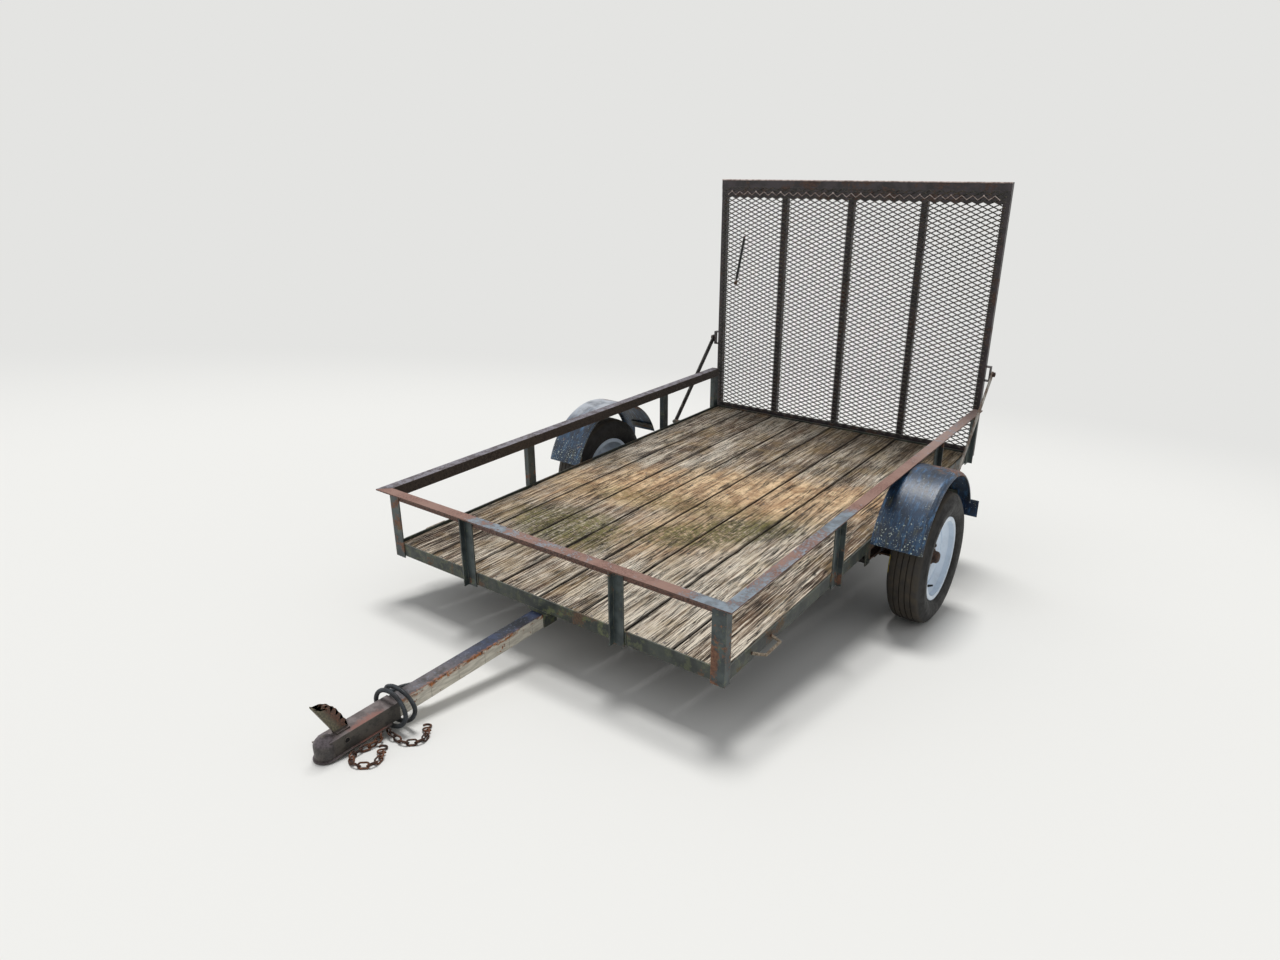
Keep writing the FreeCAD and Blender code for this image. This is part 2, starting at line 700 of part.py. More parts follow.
def wheels():
    """Tyre, rim and hub of the left wheel about the axle line, then the right wheel."""
    def turned(profile):
        points = [V(wheel_place + x, axle_place, AXLE_HEIGHT + r) for x, r in profile]
        face = Part.Face(Part.makePolygon(points + points[:1]))
        return face.revolve(V(wheel_place, axle_place, AXLE_HEIGHT), V(1, 0, 0), 360)

    half_tyre = TYRE_WIDTH / 2
    half_rim = RIM_WIDTH / 2
    height = TYRE_RADIUS - RIM_FLANGE
    bead = RIM_FLANGE - RIM_FLANGE_HEIGHT
    seat = half_rim - RIM_WALL - BEAD_GAP
    outside = [(seat, bead + BEAD_GAP), (seat, RIM_FLANGE + BEAD_GAP)]
    outside += [(half_tyre * across, RIM_FLANGE + height * up) for across, up in TYRE_OUTSIDE_SHARES]
    inside = [(half_rim - RIM_BEAD_SEAT + BEAD_HEEL, bead + BEAD_GAP)]
    across, up = TYRE_INSIDE_SHARES
    inside.append((half_tyre * across, RIM_FLANGE + height * up))
    outline = outside + [(-x, r) for x, r in reversed(outside)]
    outline += [(-x, r) for x, r in inside] + list(reversed(inside))
    nodes["tyre_left"] = lathe(outline, TYRE_SIDES)
    shoulder = half_rim - RIM_BEAD_SEAT
    lip = half_rim - RIM_WALL
    low, high = RIM_WELL_SPAN
    barrel_inside = RIM_WELL - RIM_WALL
    barrel = [(half_rim, RIM_FLANGE), (lip, RIM_FLANGE), (lip, bead), (shoulder, bead), (high, RIM_WELL)]
    barrel += [(low, RIM_WELL), (-shoulder, bead), (-lip, bead), (-lip, RIM_FLANGE), (-half_rim, RIM_FLANGE)]
    barrel += [(-half_rim, bead - RIM_WALL), (-shoulder, bead - RIM_WALL), (low - RIM_DRAFT, barrel_inside)]
    barrel += [(high + RIM_DRAFT, barrel_inside), (shoulder, bead - RIM_WALL), (half_rim, bead - RIM_WALL)]
    rim = turned(barrel)
    face = HUB_FLANGE_THICK / 2
    seat_radius = HUB_FLANGE_RADIUS + DISC_SEAT_RIM
    disc = [(x, share * barrel_inside) for x, share in DISC_FACE]
    disc += [(face + RIM_WALL, seat_radius), (face + RIM_WALL, HUB_RADIUS)]
    disc += [(face, HUB_RADIUS), (face, seat_radius + RIM_DRAFT)]
    disc += [(x, share * barrel_inside) for x, share in DISC_BACK]
    disc = turned(disc)
    studs = []
    for index in range(LUG_COUNT):
        turn = math.radians(LUG_TURN + index * 360 / LUG_COUNT)
        studs.append((axle_place + LUG_CIRCLE * math.cos(turn), AXLE_HEIGHT + LUG_CIRCLE * math.sin(turn)))
    for y, z in studs:
        disc = disc.cut(rod(STUD_HOLE, (wheel_place, y, z), (wheel_place + half_rim, y, z)))
    nodes["rim_left"] = rim.fuse(disc)
    spin = SPINDLE_RADIUS + RUNNING_GAP
    cap = HUB_CAP_REACH
    inner = -HUB_INNER_REACH
    hub = turned([
        (inner, spin),
        (inner, HUB_RADIUS + HUB_SWELL),
        (-face - HUB_WEB_LENGTH, HUB_RADIUS + HUB_SWELL),
        (-face, HUB_RADIUS + HUB_WEB_RISE),
        (-face, HUB_FLANGE_RADIUS),
        (face, HUB_FLANGE_RADIUS),
        (face, HUB_RADIUS - HUB_PILOT_GAP),
        (HUB_BORE_END, HUB_RADIUS - HUB_TAPER),
        (HUB_CAP_START, HUB_CAP_RADIUS + HUB_SWELL),
        (cap - HUB_CAP_EDGE, HUB_CAP_RADIUS),
        (cap, HUB_CAP_RADIUS - HUB_CAP_EDGE),
        (cap, 0),
        (HUB_BORE_END, 0),
        (HUB_BORE_END, spin),
    ])
    stud = wheel_place + face
    nut = stud + RIM_WALL
    for y, z in studs:
        hub = hub.fuse(rod(STUD_RADIUS, (stud, y, z), (nut + LUG_HEIGHT + STUD_END, y, z)))
        hub = hub.fuse(rod(LUG_RADIUS, (nut, y, z), (nut + LUG_HEIGHT, y, z)))
    nodes["hub_left"] = hub
    for piece in ("tyre", "rim", "hub"):
        nodes[piece + "_right"] = mirrored(nodes[piece + "_left"])


def fenders():
    """Rolled sheet about the wheel's line; its outer shoulder turns down."""
    section = [(fender_inner, fender_radius)]
    inside = [(fender_inner, fender_radius - FENDER_SHEET)]
    centre_x = fender_outer - FENDER_SHOULDER
    centre_r = fender_radius - FENDER_DROP
    for index in range(FENDER_STEPS + 1):
        turn = math.radians(90 - index * 90 / FENDER_STEPS)
        for target, wall in ((section, 0), (inside, FENDER_SHEET)):
            across = (FENDER_SHOULDER - wall) * math.cos(turn)
            target.append((centre_x + across, centre_r + (FENDER_DROP - wall) * math.sin(turn)))
    outline = section + list(reversed(inside))
    start = math.radians(FENDER_START_ANGLE)
    points = []
    for x, r in outline:
        y = axle_place + r * math.cos(start)
        points.append(V(x, y, FENDER_CENTRE_HEIGHT + r * math.sin(start)))
    face = Part.Face(Part.makePolygon(points + points[:1]))
    sweep = FENDER_END_ANGLE - FENDER_START_ANGLE
    sheet = face.revolve(V(0, axle_place, FENDER_CENTRE_HEIGHT), V(1, 0, 0), sweep)
    nodes["fender_left"] = sheet
    nodes["fender_right"] = mirrored(sheet)
    # Arms from the frame's side, one under each end of the sheet
    arms = []
    length = fender_outer - FENDER_SHOULDER - FENDER_ARM_SHORT - half_bed
    for degrees in (FENDER_START_ANGLE + FENDER_ARM_ANGLE, FENDER_END_ANGLE - FENDER_ARM_ANGLE):
        turn = math.radians(degrees)
        outward = V(0, math.cos(turn), math.sin(turn))
        along = V(0, -math.sin(turn), math.cos(turn)) * FENDER_ARM
        reach = fender_radius - FENDER_SHEET - SEAT_GAP
        seat = V(half_bed, axle_place, FENDER_CENTRE_HEIGHT) + outward * reach
        inward = outward * -FENDER_ARM_THICK
        corner = seat - along / 2
        corners = [corner, corner + along, corner + along + inward, corner + inward]
        arms.append(Part.Face(Part.makePolygon(corners + corners[:1])).extrude(V(length, 0, 0)))
    nodes["fender_arms"] = Part.makeCompound(arms + [mirrored(a) for a in arms])


def gate():
    """Angle bars and a sheet of mesh, standing behind the deck's end."""
    half = gate_half
    face = gate_face
    top = prism(
        [
            (-half, face, GATE_TOP - GATE_BAR),
            (-half, face, GATE_TOP),
            (-half, face + GATE_BAR_DEPTH, GATE_TOP),
            (-half, face + GATE_BAR_DEPTH, GATE_TOP - GATE_WALL),
            (-half, face + GATE_WALL, GATE_TOP - GATE_WALL),
            (-half, face + GATE_WALL, GATE_TOP - GATE_BAR),
        ],
        (2 * half, 0, 0),
    )
    bottom = prism(
        [
            (-half, face, GATE_BOTTOM),
            (-half, face, GATE_BOTTOM + GATE_BAR),
            (-half, face + GATE_WALL, GATE_BOTTOM + GATE_BAR),
            (-half, face + GATE_WALL, GATE_BOTTOM + GATE_WALL),
            (-half, face + GATE_BAR_DEPTH, GATE_BOTTOM + GATE_WALL),
            (-half, face + GATE_BAR_DEPTH, GATE_BOTTOM),
        ],
        (2 * half, 0, 0),
    )
    nodes["gate_top_bar"] = top
    nodes["gate_bottom_bar"] = bottom
    uprights = []
    step = (2 * half - GATE_UPRIGHT) / (GATE_UPRIGHTS - 1)
    low = GATE_BOTTOM + GATE_WALL
    high = GATE_TOP - GATE_WALL
    for index in range(GATE_UPRIGHTS):
        left = -half + index * step
        right = left + GATE_UPRIGHT
        flat = box((left, right), (face + GATE_WALL, face + 2 * GATE_WALL), (low, high))
        fin = box((right - GATE_WALL, right), (face + GATE_WALL, face + GATE_BAR_DEPTH), (low, high))
        uprights.append(fuse([flat, fin]))
    nodes["gate_uprights"] = Part.makeCompound(uprights)
    nodes["gate_mesh"] = mesh(half)


def mesh(half):
    """Expanded sheet with rows of diamond holes, on the deck side of the bars."""
    low = GATE_BOTTOM + GATE_BAR - MESH_LAP
    high = GATE_TOP - GATE_BAR + MESH_LAP
    x_low = -half + GATE_UPRIGHT / 2
    back = gate_face
    corners = [(x_low, low), (-x_low, low), (-x_low, high), (x_low, high), (x_low, low)]
    wires = [Part.makePolygon([V(x, back, z) for x, z in corners])]
    columns = int((2 * half - GATE_UPRIGHT - 2 * MESH_STRAND) // MESH_LONG)
    rows = int((high - low - 2 * MESH_STRAND) // (MESH_SHORT / 2)) - 1
    lean = math.atan2(MESH_SHORT, MESH_LONG)
    half_long = MESH_LONG / 2 - MESH_STRAND / 2 / math.sin(lean)
    half_short = MESH_SHORT / 2 - MESH_STRAND / 2 / math.cos(lean)
    first_row = (low + high) / 2 - (rows - 1) * MESH_SHORT / 4
    for row in range(rows):
        z = first_row + row * MESH_SHORT / 2
        count = columns if row % 2 == 0 else columns - 1
        for column in range(count):
            x = (column - (count - 1) / 2) * MESH_LONG
            across = [V(x - half_long, back, z), V(x + half_long, back, z)]
            hole = [across[0], V(x, back, z - half_short), across[1], V(x, back, z + half_short), across[0]]
            wires.append(Part.makePolygon(hole))
    face = Part.makeFace(wires, "Part::FaceMakerBullseye")
    return face.extrude(V(0, -MESH_THICK, 0))


def hinges():
    """Barrels on the gate's foot turn on pins held by ears on the rear rail."""
    ears = []
    barrels = []
    for side in (-1, 1):
        middle = side * (gate_half - HINGE_INSET)
        half = HINGE_BARREL_LENGTH / 2
        start = (middle - half, hinge_place, hinge_height)
        end = (middle + half, hinge_place, hinge_height)
        barrels.append(rod(HINGE_BARREL, start, end).cut(rod(HINGE_PIN + RUNNING_GAP, start, end)))
        reach = half + HINGE_GAP + FRAME_WALL + HINGE_PIN_END
        line = (hinge_place, hinge_height)
        pieces = [rod(HINGE_PIN, (middle - reach, *line), (middle + reach, *line))]
        for ear_side in (-1, 1):
            x = middle + ear_side * (half + HINGE_GAP)
            span = (x, x + ear_side * FRAME_WALL)
            plate = box(span, (BED_LENGTH, hinge_place), (hinge_height - HINGE_EAR, hinge_height + HINGE_EAR))
            round_end = rod(HINGE_EAR, (span[0], *line), (span[1], *line))
            pieces += [plate, round_end]
        ears.append(fuse(pieces))
    nodes["hinge_ears"] = Part.makeCompound(ears)
    nodes["hinge_barrels"] = Part.makeCompound(barrels)


def stays():
    """A flat bar on each side, bolted to the frame and pinned to the gate's strap."""
    outer = stay_inner + STAY_THICK
    foot = V(stay_inner, stay_foot_place, STAY_FOOT_HEIGHT)
    head = V(stay_inner, stay_head_place, STAY_HEAD_HEIGHT)
    along = (head - foot).normalize()
    across = along.cross(V(1, 0, 0)) * (STAY_WIDTH / 2)
    corners = [foot - across, head - across, head + across, foot + across]
    bar = Part.Face(Part.makePolygon(corners + corners[:1])).extrude(V(STAY_THICK, 0, 0))
    for end in (foot, head):
        bar = bar.fuse(Part.makeCylinder(STAY_WIDTH / 2, STAY_THICK, end, V(1, 0, 0)))
    bar = bar.removeSplitter()
    hole = STAY_BOLT + STAY_BOLT_GAP
    bar = bar.cut(Part.makeCylinder(hole, STAY_THICK, foot, V(1, 0, 0)))
    pin_length = STAY_PIN_REACH + STAY_THICK + STAY_PIN_END
    pin = Part.makeCylinder(STAY_BOLT, pin_length, head - V(STAY_PIN_REACH, 0, 0), V(1, 0, 0))
    knob = Part.makeCylinder(STAY_KNOB, STAY_KNOB_LENGTH, head + V(STAY_THICK, 0, 0), V(1, 0, 0))
    bar = bar.cut(Part.makeCylinder(STAY_BOLT, STAY_THICK, head, V(1, 0, 0)))
    nodes["stay_bar_left"] = bar
    nodes["stay_pin_left"] = pin.fuse(knob).removeSplitter()
    bolt_pieces = []
    # Boss, bolt and nut: radius, inner end, outer end
    for radius, inner_end, outer_end in (
        (STAY_BOSS, half_bed, stay_inner - STAY_BOLT_GAP),
        (STAY_BOLT, half_bed, outer + STAY_BOLT_END),
        (STAY_NUT, outer + STAY_BOLT_GAP, outer + STAY_NUT_END),
    ):
        start = (inner_end, stay_foot_place, STAY_FOOT_HEIGHT)
        bolt_pieces.append(rod(radius, start, (outer_end, stay_foot_place, STAY_FOOT_HEIGHT)))
    nodes["stay_bosses"] = both_sides(fuse(bolt_pieces))
    for piece in ("stay_bar", "stay_pin"):
        nodes[piece + "_right"] = mirrored(nodes[piece + "_left"])
    # Strap on the gate's outer upright: its web faces the stay's head
    half = gate_half
    low = STAY_HEAD_HEIGHT - STRAP_HEIGHT / 2
    high = STAY_HEAD_HEIGHT + STRAP_HEIGHT / 2
    web = stay_inner - STAY_PIN_REACH - STAY_PIN_GAP
    middle = stay_head_place + STRAP_SHIFT
    y = (middle - STRAP_WIDTH / 2, middle + STRAP_WIDTH / 2)
    strap = fuse([
        box((half, web), y, (low, low + STRAP_WALL)),
        box((half, web), y, (high - STRAP_WALL, high)),
        box((web - STRAP_WALL, web), y, (low, high)),
    ])
    nodes["gate_straps"] = both_sides(strap)


def small_pieces():
    """Lamp plates, tie-down loops and the rod that hangs on the mesh."""
    turn = math.radians(FENDER_START_ANGLE)
    y = axle_place + fender_radius * math.cos(turn) + SEAT_GAP
    z = FENDER_CENTRE_HEIGHT + fender_radius * math.sin(turn) + LAMP_PLATE_LAP
    reach = fender_outer + LAMP_PLATE_REACH
    plate = box((reach - LAMP_PLATE_WIDTH, reach), (y, y + LAMP_PLATE_THICK), (z - LAMP_PLATE_HEIGHT, z))
    nodes["lamp_plates"] = both_sides(plate)
    ring = LOOP_ROD
    level = FRAME_LEG / 2
    start = (half_bed, LOOP_PLACE, level)
    tip = (half_bed + LOOP_REACH, LOOP_PLACE + LOOP_SLOPE, level)
    other_tip = (half_bed + LOOP_REACH, LOOP_PLACE + LOOP_LENGTH - LOOP_SLOPE, level)
    end = (half_bed, LOOP_PLACE + LOOP_LENGTH, level)
    pieces = [rod(ring, start, tip), rod(ring, tip, other_tip), rod(ring, other_tip, end)]
    pieces += [Part.makeSphere(ring, V(*tip)), Part.makeSphere(ring, V(*other_tip))]
    length = (LOOP_PLACE - LOOP_SLOPE, LOOP_PLACE + LOOP_LENGTH + LOOP_SLOPE)
    outside = box((half_bed, half_bed + 2 * LOOP_REACH), length, (level - 2 * ring, level + 2 * ring))
    nodes["tie_down_loops"] = both_sides(fuse(pieces).common(outside))
    face = gate_face - MESH_THICK - SEAT_GAP
    top = (ROD_TOP[0] - gate_half, face - ROD_KNOB, GATE_TOP - ROD_TOP[1])
    foot = (ROD_FOOT[0] - gate_half, face - ROD_KNOB, GATE_TOP - ROD_FOOT[1])
    along = (V(*foot) - V(*top)).normalize()
    hook = rod(ROD_RADIUS, top, (top[0], face, top[2]))
    elbow = Part.makeSphere(ROD_RADIUS, V(*top))
    knob = Part.makeCylinder(ROD_KNOB, ROD_KNOB_LENGTH, V(*foot), along)
    nodes["hanging_rod"] = fuse([rod(ROD_RADIUS, top, foot), hook, elbow, knob])


def link(middle, along, roll):
    """One link: a wire with two straight sides and round ends, turned by roll about its length."""
    level = along.cross(floor_up).normalize()
    tilt = math.radians(roll)
    side = level * math.cos(tilt) + level.cross(along) * math.sin(tilt)
    bend = CHAIN_INSIDE_WIDTH / 2 + CHAIN_WIRE
    straight = CHAIN_INSIDE_LENGTH / 2 + CHAIN_WIRE - bend
    points = []
    for end in (1, -1):
        for out, across in LINK_END_SHARES:
            points.append(middle + along * (end * (straight + bend * out)) + side * (end * bend * across))
    return bent_wire(points, CHAIN_WIRE, CHAIN_SIDES, along.cross(side), True)


def chain(bolt_place, rows):
    """A bolt under the tongue, links in a row from it over the floor and an open hook in the last."""
    bolt_end = V(0, bolt_place, tongue_bottom - CHAIN_BOLT_LENGTH)
    top = V(0, bolt_place, tongue_bottom)
    foot = bolt_end - V(0, 0, CHAIN_BOLT_HEAD_THICK)
    forward = V(0, -1, 0)
    shank = bent_wire([top, bolt_end], CHAIN_BOLT_RADIUS, CHAIN_BOLT_SIDES, forward, False)
    head = bent_wire([bolt_end, foot], CHAIN_BOLT_HEAD, CHAIN_BOLT_SIDES, forward, False)
    pieces = [shank, head]
    x = CHAIN_START
    place = bolt_place - floor_up.y * (CHAIN_REST + rows[0][1])
    before = rows[0][0]
    for index, (heading, lift, roll) in enumerate(rows):
        if index > 0:
            way = math.radians((heading + before) / 2)
            x += (CHAIN_INSIDE_LENGTH - CHAIN_SLACK) * math.cos(way)
            place += (CHAIN_INSIDE_LENGTH - CHAIN_SLACK) * math.sin(way)
        before = heading
        middle = on_floor(x, place, CHAIN_REST + lift)
        way = math.radians(heading)
        slope = V(math.cos(way), math.sin(way), 0)
        slope = (slope - floor_up * slope.dot(floor_up)).normalize()
        pieces.append(link(middle, slope, roll))
    # Hook: two round bends that make an S, the first one through the last link
    near = middle + slope * (CHAIN_INSIDE_LENGTH / 2 - HOOK_WIRE - CHAIN_SLACK)
    far = near + slope * (4 * HOOK_RADIUS) - floor_up * (CHAIN_REST - HOOK_WIRE - CHAIN_FLOOR_GAP)
    onward = (far - near).normalize()
    upward = (floor_up - onward * floor_up.dot(onward)).normalize()
    left = upward.cross(onward)
    hook = []
    for centre, start, way in ((1, 0, -1), (3, 180, 1)):
        for step in range(HOOK_STEPS + 1):
            back = HOOK_STEPS - step if way < 0 else step
            turn = math.radians(start + back * HOOK_STEP_ANGLE)
            reach = HOOK_RADIUS * (centre + math.cos(turn))
            hook.append(near + onward * reach + left * (HOOK_RADIUS * math.sin(turn)))
    hook.pop(HOOK_STEPS)
    pieces.append(bent_wire(hook, HOOK_WIRE, CHAIN_SIDES, upward, False))
    return pieces


def safety_chains():
    pieces = []
    for behind, rows in zip(CHAIN_BOLTS_BEHIND, CHAIN_LINKS):
        pieces += chain(tongue_front + behind, rows)
    nodes["safety_chains"] = Part.makeCompound(pieces)


def cord_tube(name, points):
    """A tube of straight runs joined by arcs; prints the arcs' radii."""
    edges = []
    radii = []
    here = points[0]
    for before, point, after in zip(points, points[1:], points[2:]):
        inward = (point - before).normalize()
        onward = (after - point).normalize()
        half_turn = inward.getAngle(onward) / 2
        reach = 0.45 * min((point - before).Length, (after - point).Length)
        radius = reach / math.tan(half_turn)
        start = point - inward * reach
        end = point + onward * reach
        middle = point + (onward - inward).normalize() * (radius / math.cos(half_turn) - radius)
        edges.append(Part.LineSegment(here, start).toShape())
        edges.append(Part.Arc(start, middle, end).toShape())
        radii.append(round(radius))
        here = end
    edges.append(Part.LineSegment(here, points[-1]).toShape())
    path = Part.Wire(edges)
    round_end = Part.Wire(Part.Circle(points[0], points[1] - points[0], LEAD_RADIUS).toShape())
    tube = path.makePipeShell([round_end], True, True)
    share = tube.Volume / (math.pi * LEAD_RADIUS**2 * path.Length)
    print(name, "length", round(path.Length), "radii", radii, "volume share", round(share, 4))
    nodes[name] = tube


def lead():
    """The wiring lead: a strain relief in the tongue's far side, two turns, a tail and a flat plug."""
    height = (TONGUE_TOP + tongue_bottom) / 2
    lean = math.radians(GROMMET_ANGLE)
    way = V(-math.sin(lean), -math.cos(lean), 0)
    root = V(-tongue_half, tongue_front + GROMMET_BEHIND, height)
    leave = root + way * GROMMET_LENGTH
    back = way * GROMMET_LENGTH
    relief = Part.makeCone(GROMMET_RADIUS, LEAD_RADIUS + GROMMET_LIP, 2 * GROMMET_LENGTH, root - back, way)
    length = (leave.y - GROMMET_LENGTH, root.y + GROMMET_LENGTH)
    outside = box((-TONGUE_SIZE, -tongue_half), length, (tongue_bottom, TONGUE_TOP))
    nodes["harness_grommet"] = relief.common(outside)
    front = tongue_front + COIL_BEHIND
    rear = front + COIL_LENGTH
    low = on_floor(0, front, LEAD_FLOOR_GAP).z
    middle = V(COIL_SHIFT, rear, low + COIL_OUTER[1])
    rings = []
    for half_width, half_height in (COIL_OUTER, COIL_INNER):
        oval = Part.Ellipse(V(0, 0, 0), half_width, half_height).toShape()
        oval.rotate(V(0, 0, 0), V(1, 0, 0), 90)
        oval.translate(middle)
        rings.append(Part.Face(Part.Wire(oval)).extrude(V(0, -COIL_LENGTH, 0)))
    nodes["harness_coil"] = rings[0].cut(rings[1])
    across, height = LEAD_ENTRY
    entry = [V(across, rear + LEAD_LAST_RUN, height), V(across, rear, height)]
    cord_tube("harness_lead", [leave, leave + way * LEAD_RUN] + entry)
    across, height = LEAD_LEAVES
    tail = [V(across, front, low + height), V(across, front - LEAD_TAIL_RUN, low + height)]
    tail += [on_floor(x, front - ahead, LEAD_RADIUS + LEAD_FLOOR_GAP) for x, ahead in LEAD_TAIL]
    cord_tube("harness_tail", tail)
    tip = tail[-1]
    onward = (tip - tail[-2]).normalize()
    side = floor_up.cross(onward) * (PLUG_WIDTH / 2)
    rise = floor_up * (PLUG_THICK / 2)
    corners = [tip - side - rise, tip + side - rise, tip + side + rise, tip - side + rise]
    nodes["harness_plug"] = Part.Face(Part.makePolygon(corners + corners[:1])).extrude(onward * PLUG_LENGTH)
    cord_nodes.extend(["harness_grommet", "harness_lead", "harness_coil", "harness_tail", "harness_plug"])


MAKERS = [
    frame_rails,
    crossmembers,
    deck,
    top_rails,
    posts,
    tongue,
    coupler,
    axle,
    springs,
    wheels,
    fenders,
    gate,
    hinges,
    stays,
    small_pieces,
    safety_chains,
    lead,
]
for make in MAKERS:
    make()

wheel_line = V(0, axle_place, AXLE_HEIGHT)


def settle(shape):
    """Turn a piece from the level trailer to the parked one."""
    placed = shape.copy()
    placed.rotate(wheel_line, V(1, 0, 0), pitch)
    placed.translate(V(0, 0, TYRE_RADIUS - AXLE_HEIGHT))
    return placed


settled = {name: settle(shape) for name, shape in nodes.items()}
outline = Part.makeCompound([s for n, s in settled.items() if n not in cord_nodes]).BoundBox
middle = V(-(outline.XMin + outline.XMax) / 2, -(outline.YMin + outline.YMax) / 2, 0)


def placed_point(x, y, z):
    """Where a point of the level trailer lies on the parked one."""
    turn = FreeCAD.Placement(V(0, 0, 0), FreeCAD.Rotation(V(1, 0, 0), pitch), wheel_line)
    return turn.multVec(V(x, y, z)) + V(0, 0, TYRE_RADIUS - AXLE_HEIGHT) + middle


for name, shape in settled.items():
    shape.translate(middle)
    shape.exportStep("parts/" + name + ".step")
    print(name, len(shape.Solids), "valid" if shape.isValid() else "INVALID", round(shape.Volume))

size = [round(length) for length in (outline.XLength, outline.YLength, outline.ZLength)]
print("pitch", round(pitch, 3), "size", size, "lowest", round(outline.ZMin, 3))
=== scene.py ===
"""Utility trailer: finishes, expanded-metal gate sheet, tyres, safety chains, wiring lead and stage."""

import json
import math
from functools import partial, partialmethod
from types import SimpleNamespace

import bmesh
import bpy
from mathutils import Matrix, Vector


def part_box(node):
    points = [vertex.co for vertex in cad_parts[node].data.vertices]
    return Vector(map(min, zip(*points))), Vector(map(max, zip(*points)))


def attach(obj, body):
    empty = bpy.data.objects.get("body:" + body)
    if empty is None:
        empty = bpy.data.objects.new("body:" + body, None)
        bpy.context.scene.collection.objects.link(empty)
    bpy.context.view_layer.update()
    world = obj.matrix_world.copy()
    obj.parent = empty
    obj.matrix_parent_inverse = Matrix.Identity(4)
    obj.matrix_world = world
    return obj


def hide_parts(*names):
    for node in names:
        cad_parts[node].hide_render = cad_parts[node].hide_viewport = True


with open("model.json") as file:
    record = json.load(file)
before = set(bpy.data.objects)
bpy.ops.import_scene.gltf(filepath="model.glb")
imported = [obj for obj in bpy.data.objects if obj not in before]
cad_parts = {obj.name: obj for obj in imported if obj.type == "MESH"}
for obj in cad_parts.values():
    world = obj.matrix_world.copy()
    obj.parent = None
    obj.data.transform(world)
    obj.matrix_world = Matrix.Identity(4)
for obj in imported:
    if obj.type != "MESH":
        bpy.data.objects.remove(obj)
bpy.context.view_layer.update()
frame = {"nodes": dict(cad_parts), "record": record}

bl_info = {
    "name": "Utility trailer",
    "version": (1, 0, 0),
    "blender": (4, 5, 0),
    "location": "3D View > Sidebar > Trailer",
    "description": "Builds the finishes and the fine parts of a parked utility trailer",
    "category": "Object",
}

# The level trailer is drawn in millimetres and tipped nose-down about the wheels' line
PITCH = math.radians(8.1043)
AXLE_PLACE = 1450.0
AXLE_HEIGHT = -108.0
HALF_BED = 762.0
BED_LENGTH = 2438.0
ANGLE_WIDTH = 50.8
ANGLE_WALL = 4.8
RAIL_TOP = 279.0
BOARDS = 8
BOARD_GAP = 5.0
BOARD_PITCH = (2 * (HALF_BED - ANGLE_WALL) - (BOARDS + 1) * BOARD_GAP) / BOARDS + BOARD_GAP
BOARD_TOP = 42.8
WHEEL_PLACE = 896.0
TYRE_RADIUS = 288.0
FENDER_CENTRE = -73.0
GATE_HALF = 780.0
GATE_FACE = 2453.0
GATE_LOW = 58.8
GATE_HIGH = 1326.2
NOSE_PLACE = -887.9
SKIRT = -66.0
HALF_TONGUE = 25.4
COUPLER_WALL = 3.2
SIDES = (("left", 1), ("right", -1))
BACKDROP = "#E4E4E2"
UPWARD = Vector((0.0, 0.0, 1.0))
FLOOR_UP = Vector((0.0, math.sin(PITCH), math.cos(PITCH)))

low_corner, high_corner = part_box("tyre_left")
WHEEL_CENTRE = Vector((0.0, (low_corner[1] + high_corner[1]) / 2, TYRE_RADIUS / 1000))
PARK = (
    Matrix.Translation(WHEEL_CENTRE)
    @ Matrix.Rotation(PITCH, 4, "X")
    @ Matrix.Translation((0.0, -AXLE_PLACE / 1000, -AXLE_HEIGHT / 1000))
)


def parked(x, y, z):
    """A point of the level trailer, in millimetres, where the parked trailer has it, in metres."""
    return PARK @ Vector((x / 1000, y / 1000, z / 1000))


def on_floor(x, place, height):
    """A parked point over the floor, from a place along the level trailer."""
    drop = (place - NOSE_PLACE) * math.tan(PITCH)
    return parked(*(Vector((x, place, SKIRT - drop)) + FLOOR_UP * height))


def colour(text):
    """Linear colour from an sRGB hex value."""
    parts = [int(text[i:i + 2], 16) / 255 for i in (1, 3, 5)]
    linear = [c / 12.92 if c <= 0.04045 else ((c + 0.055) / 1.055) ** 2.4 for c in parts]
    return (*linear, 1.0)


def per_metre(millimetres):
    """A texture scale from the size of its features in millimetres."""
    return 1000.0 / millimetres


def join(value, socket):
    """Links one or more outputs to a socket, or sets it to a number, a vector, a word or a hex colour."""
    if isinstance(value, list):
        for one in value:
            join(one, socket)
    elif isinstance(value, Output):
        socket.id_data.links.new(value.socket, socket)
    elif isinstance(value, str) and value.startswith("#"):
        socket.default_value = colour(value)
    else:
        socket.default_value = value


def node(tree, kind, inputs=None, output=0, **settings):
    """One output of a new node; inputs maps the node's sockets to values or to other nodes' outputs."""
    made = tree.nodes.new(kind)
    for name, value in settings.items():
        setattr(made, name, value)
    for socket, value in (inputs or {}).items():
        join(value, made.inputs[socket])
    return Output(made.outputs[output])


def mix(share, first, second):
    """A colour between two colours; each is a hex value or an output."""
    return node(share.tree, "ShaderNodeMix", {0: share, 6: first, 7: second}, 2, data_type="RGBA")


def distance(first, second):
    """The long side of a right-angled triangle."""
    return (first * first + second * second).math("SQRT")


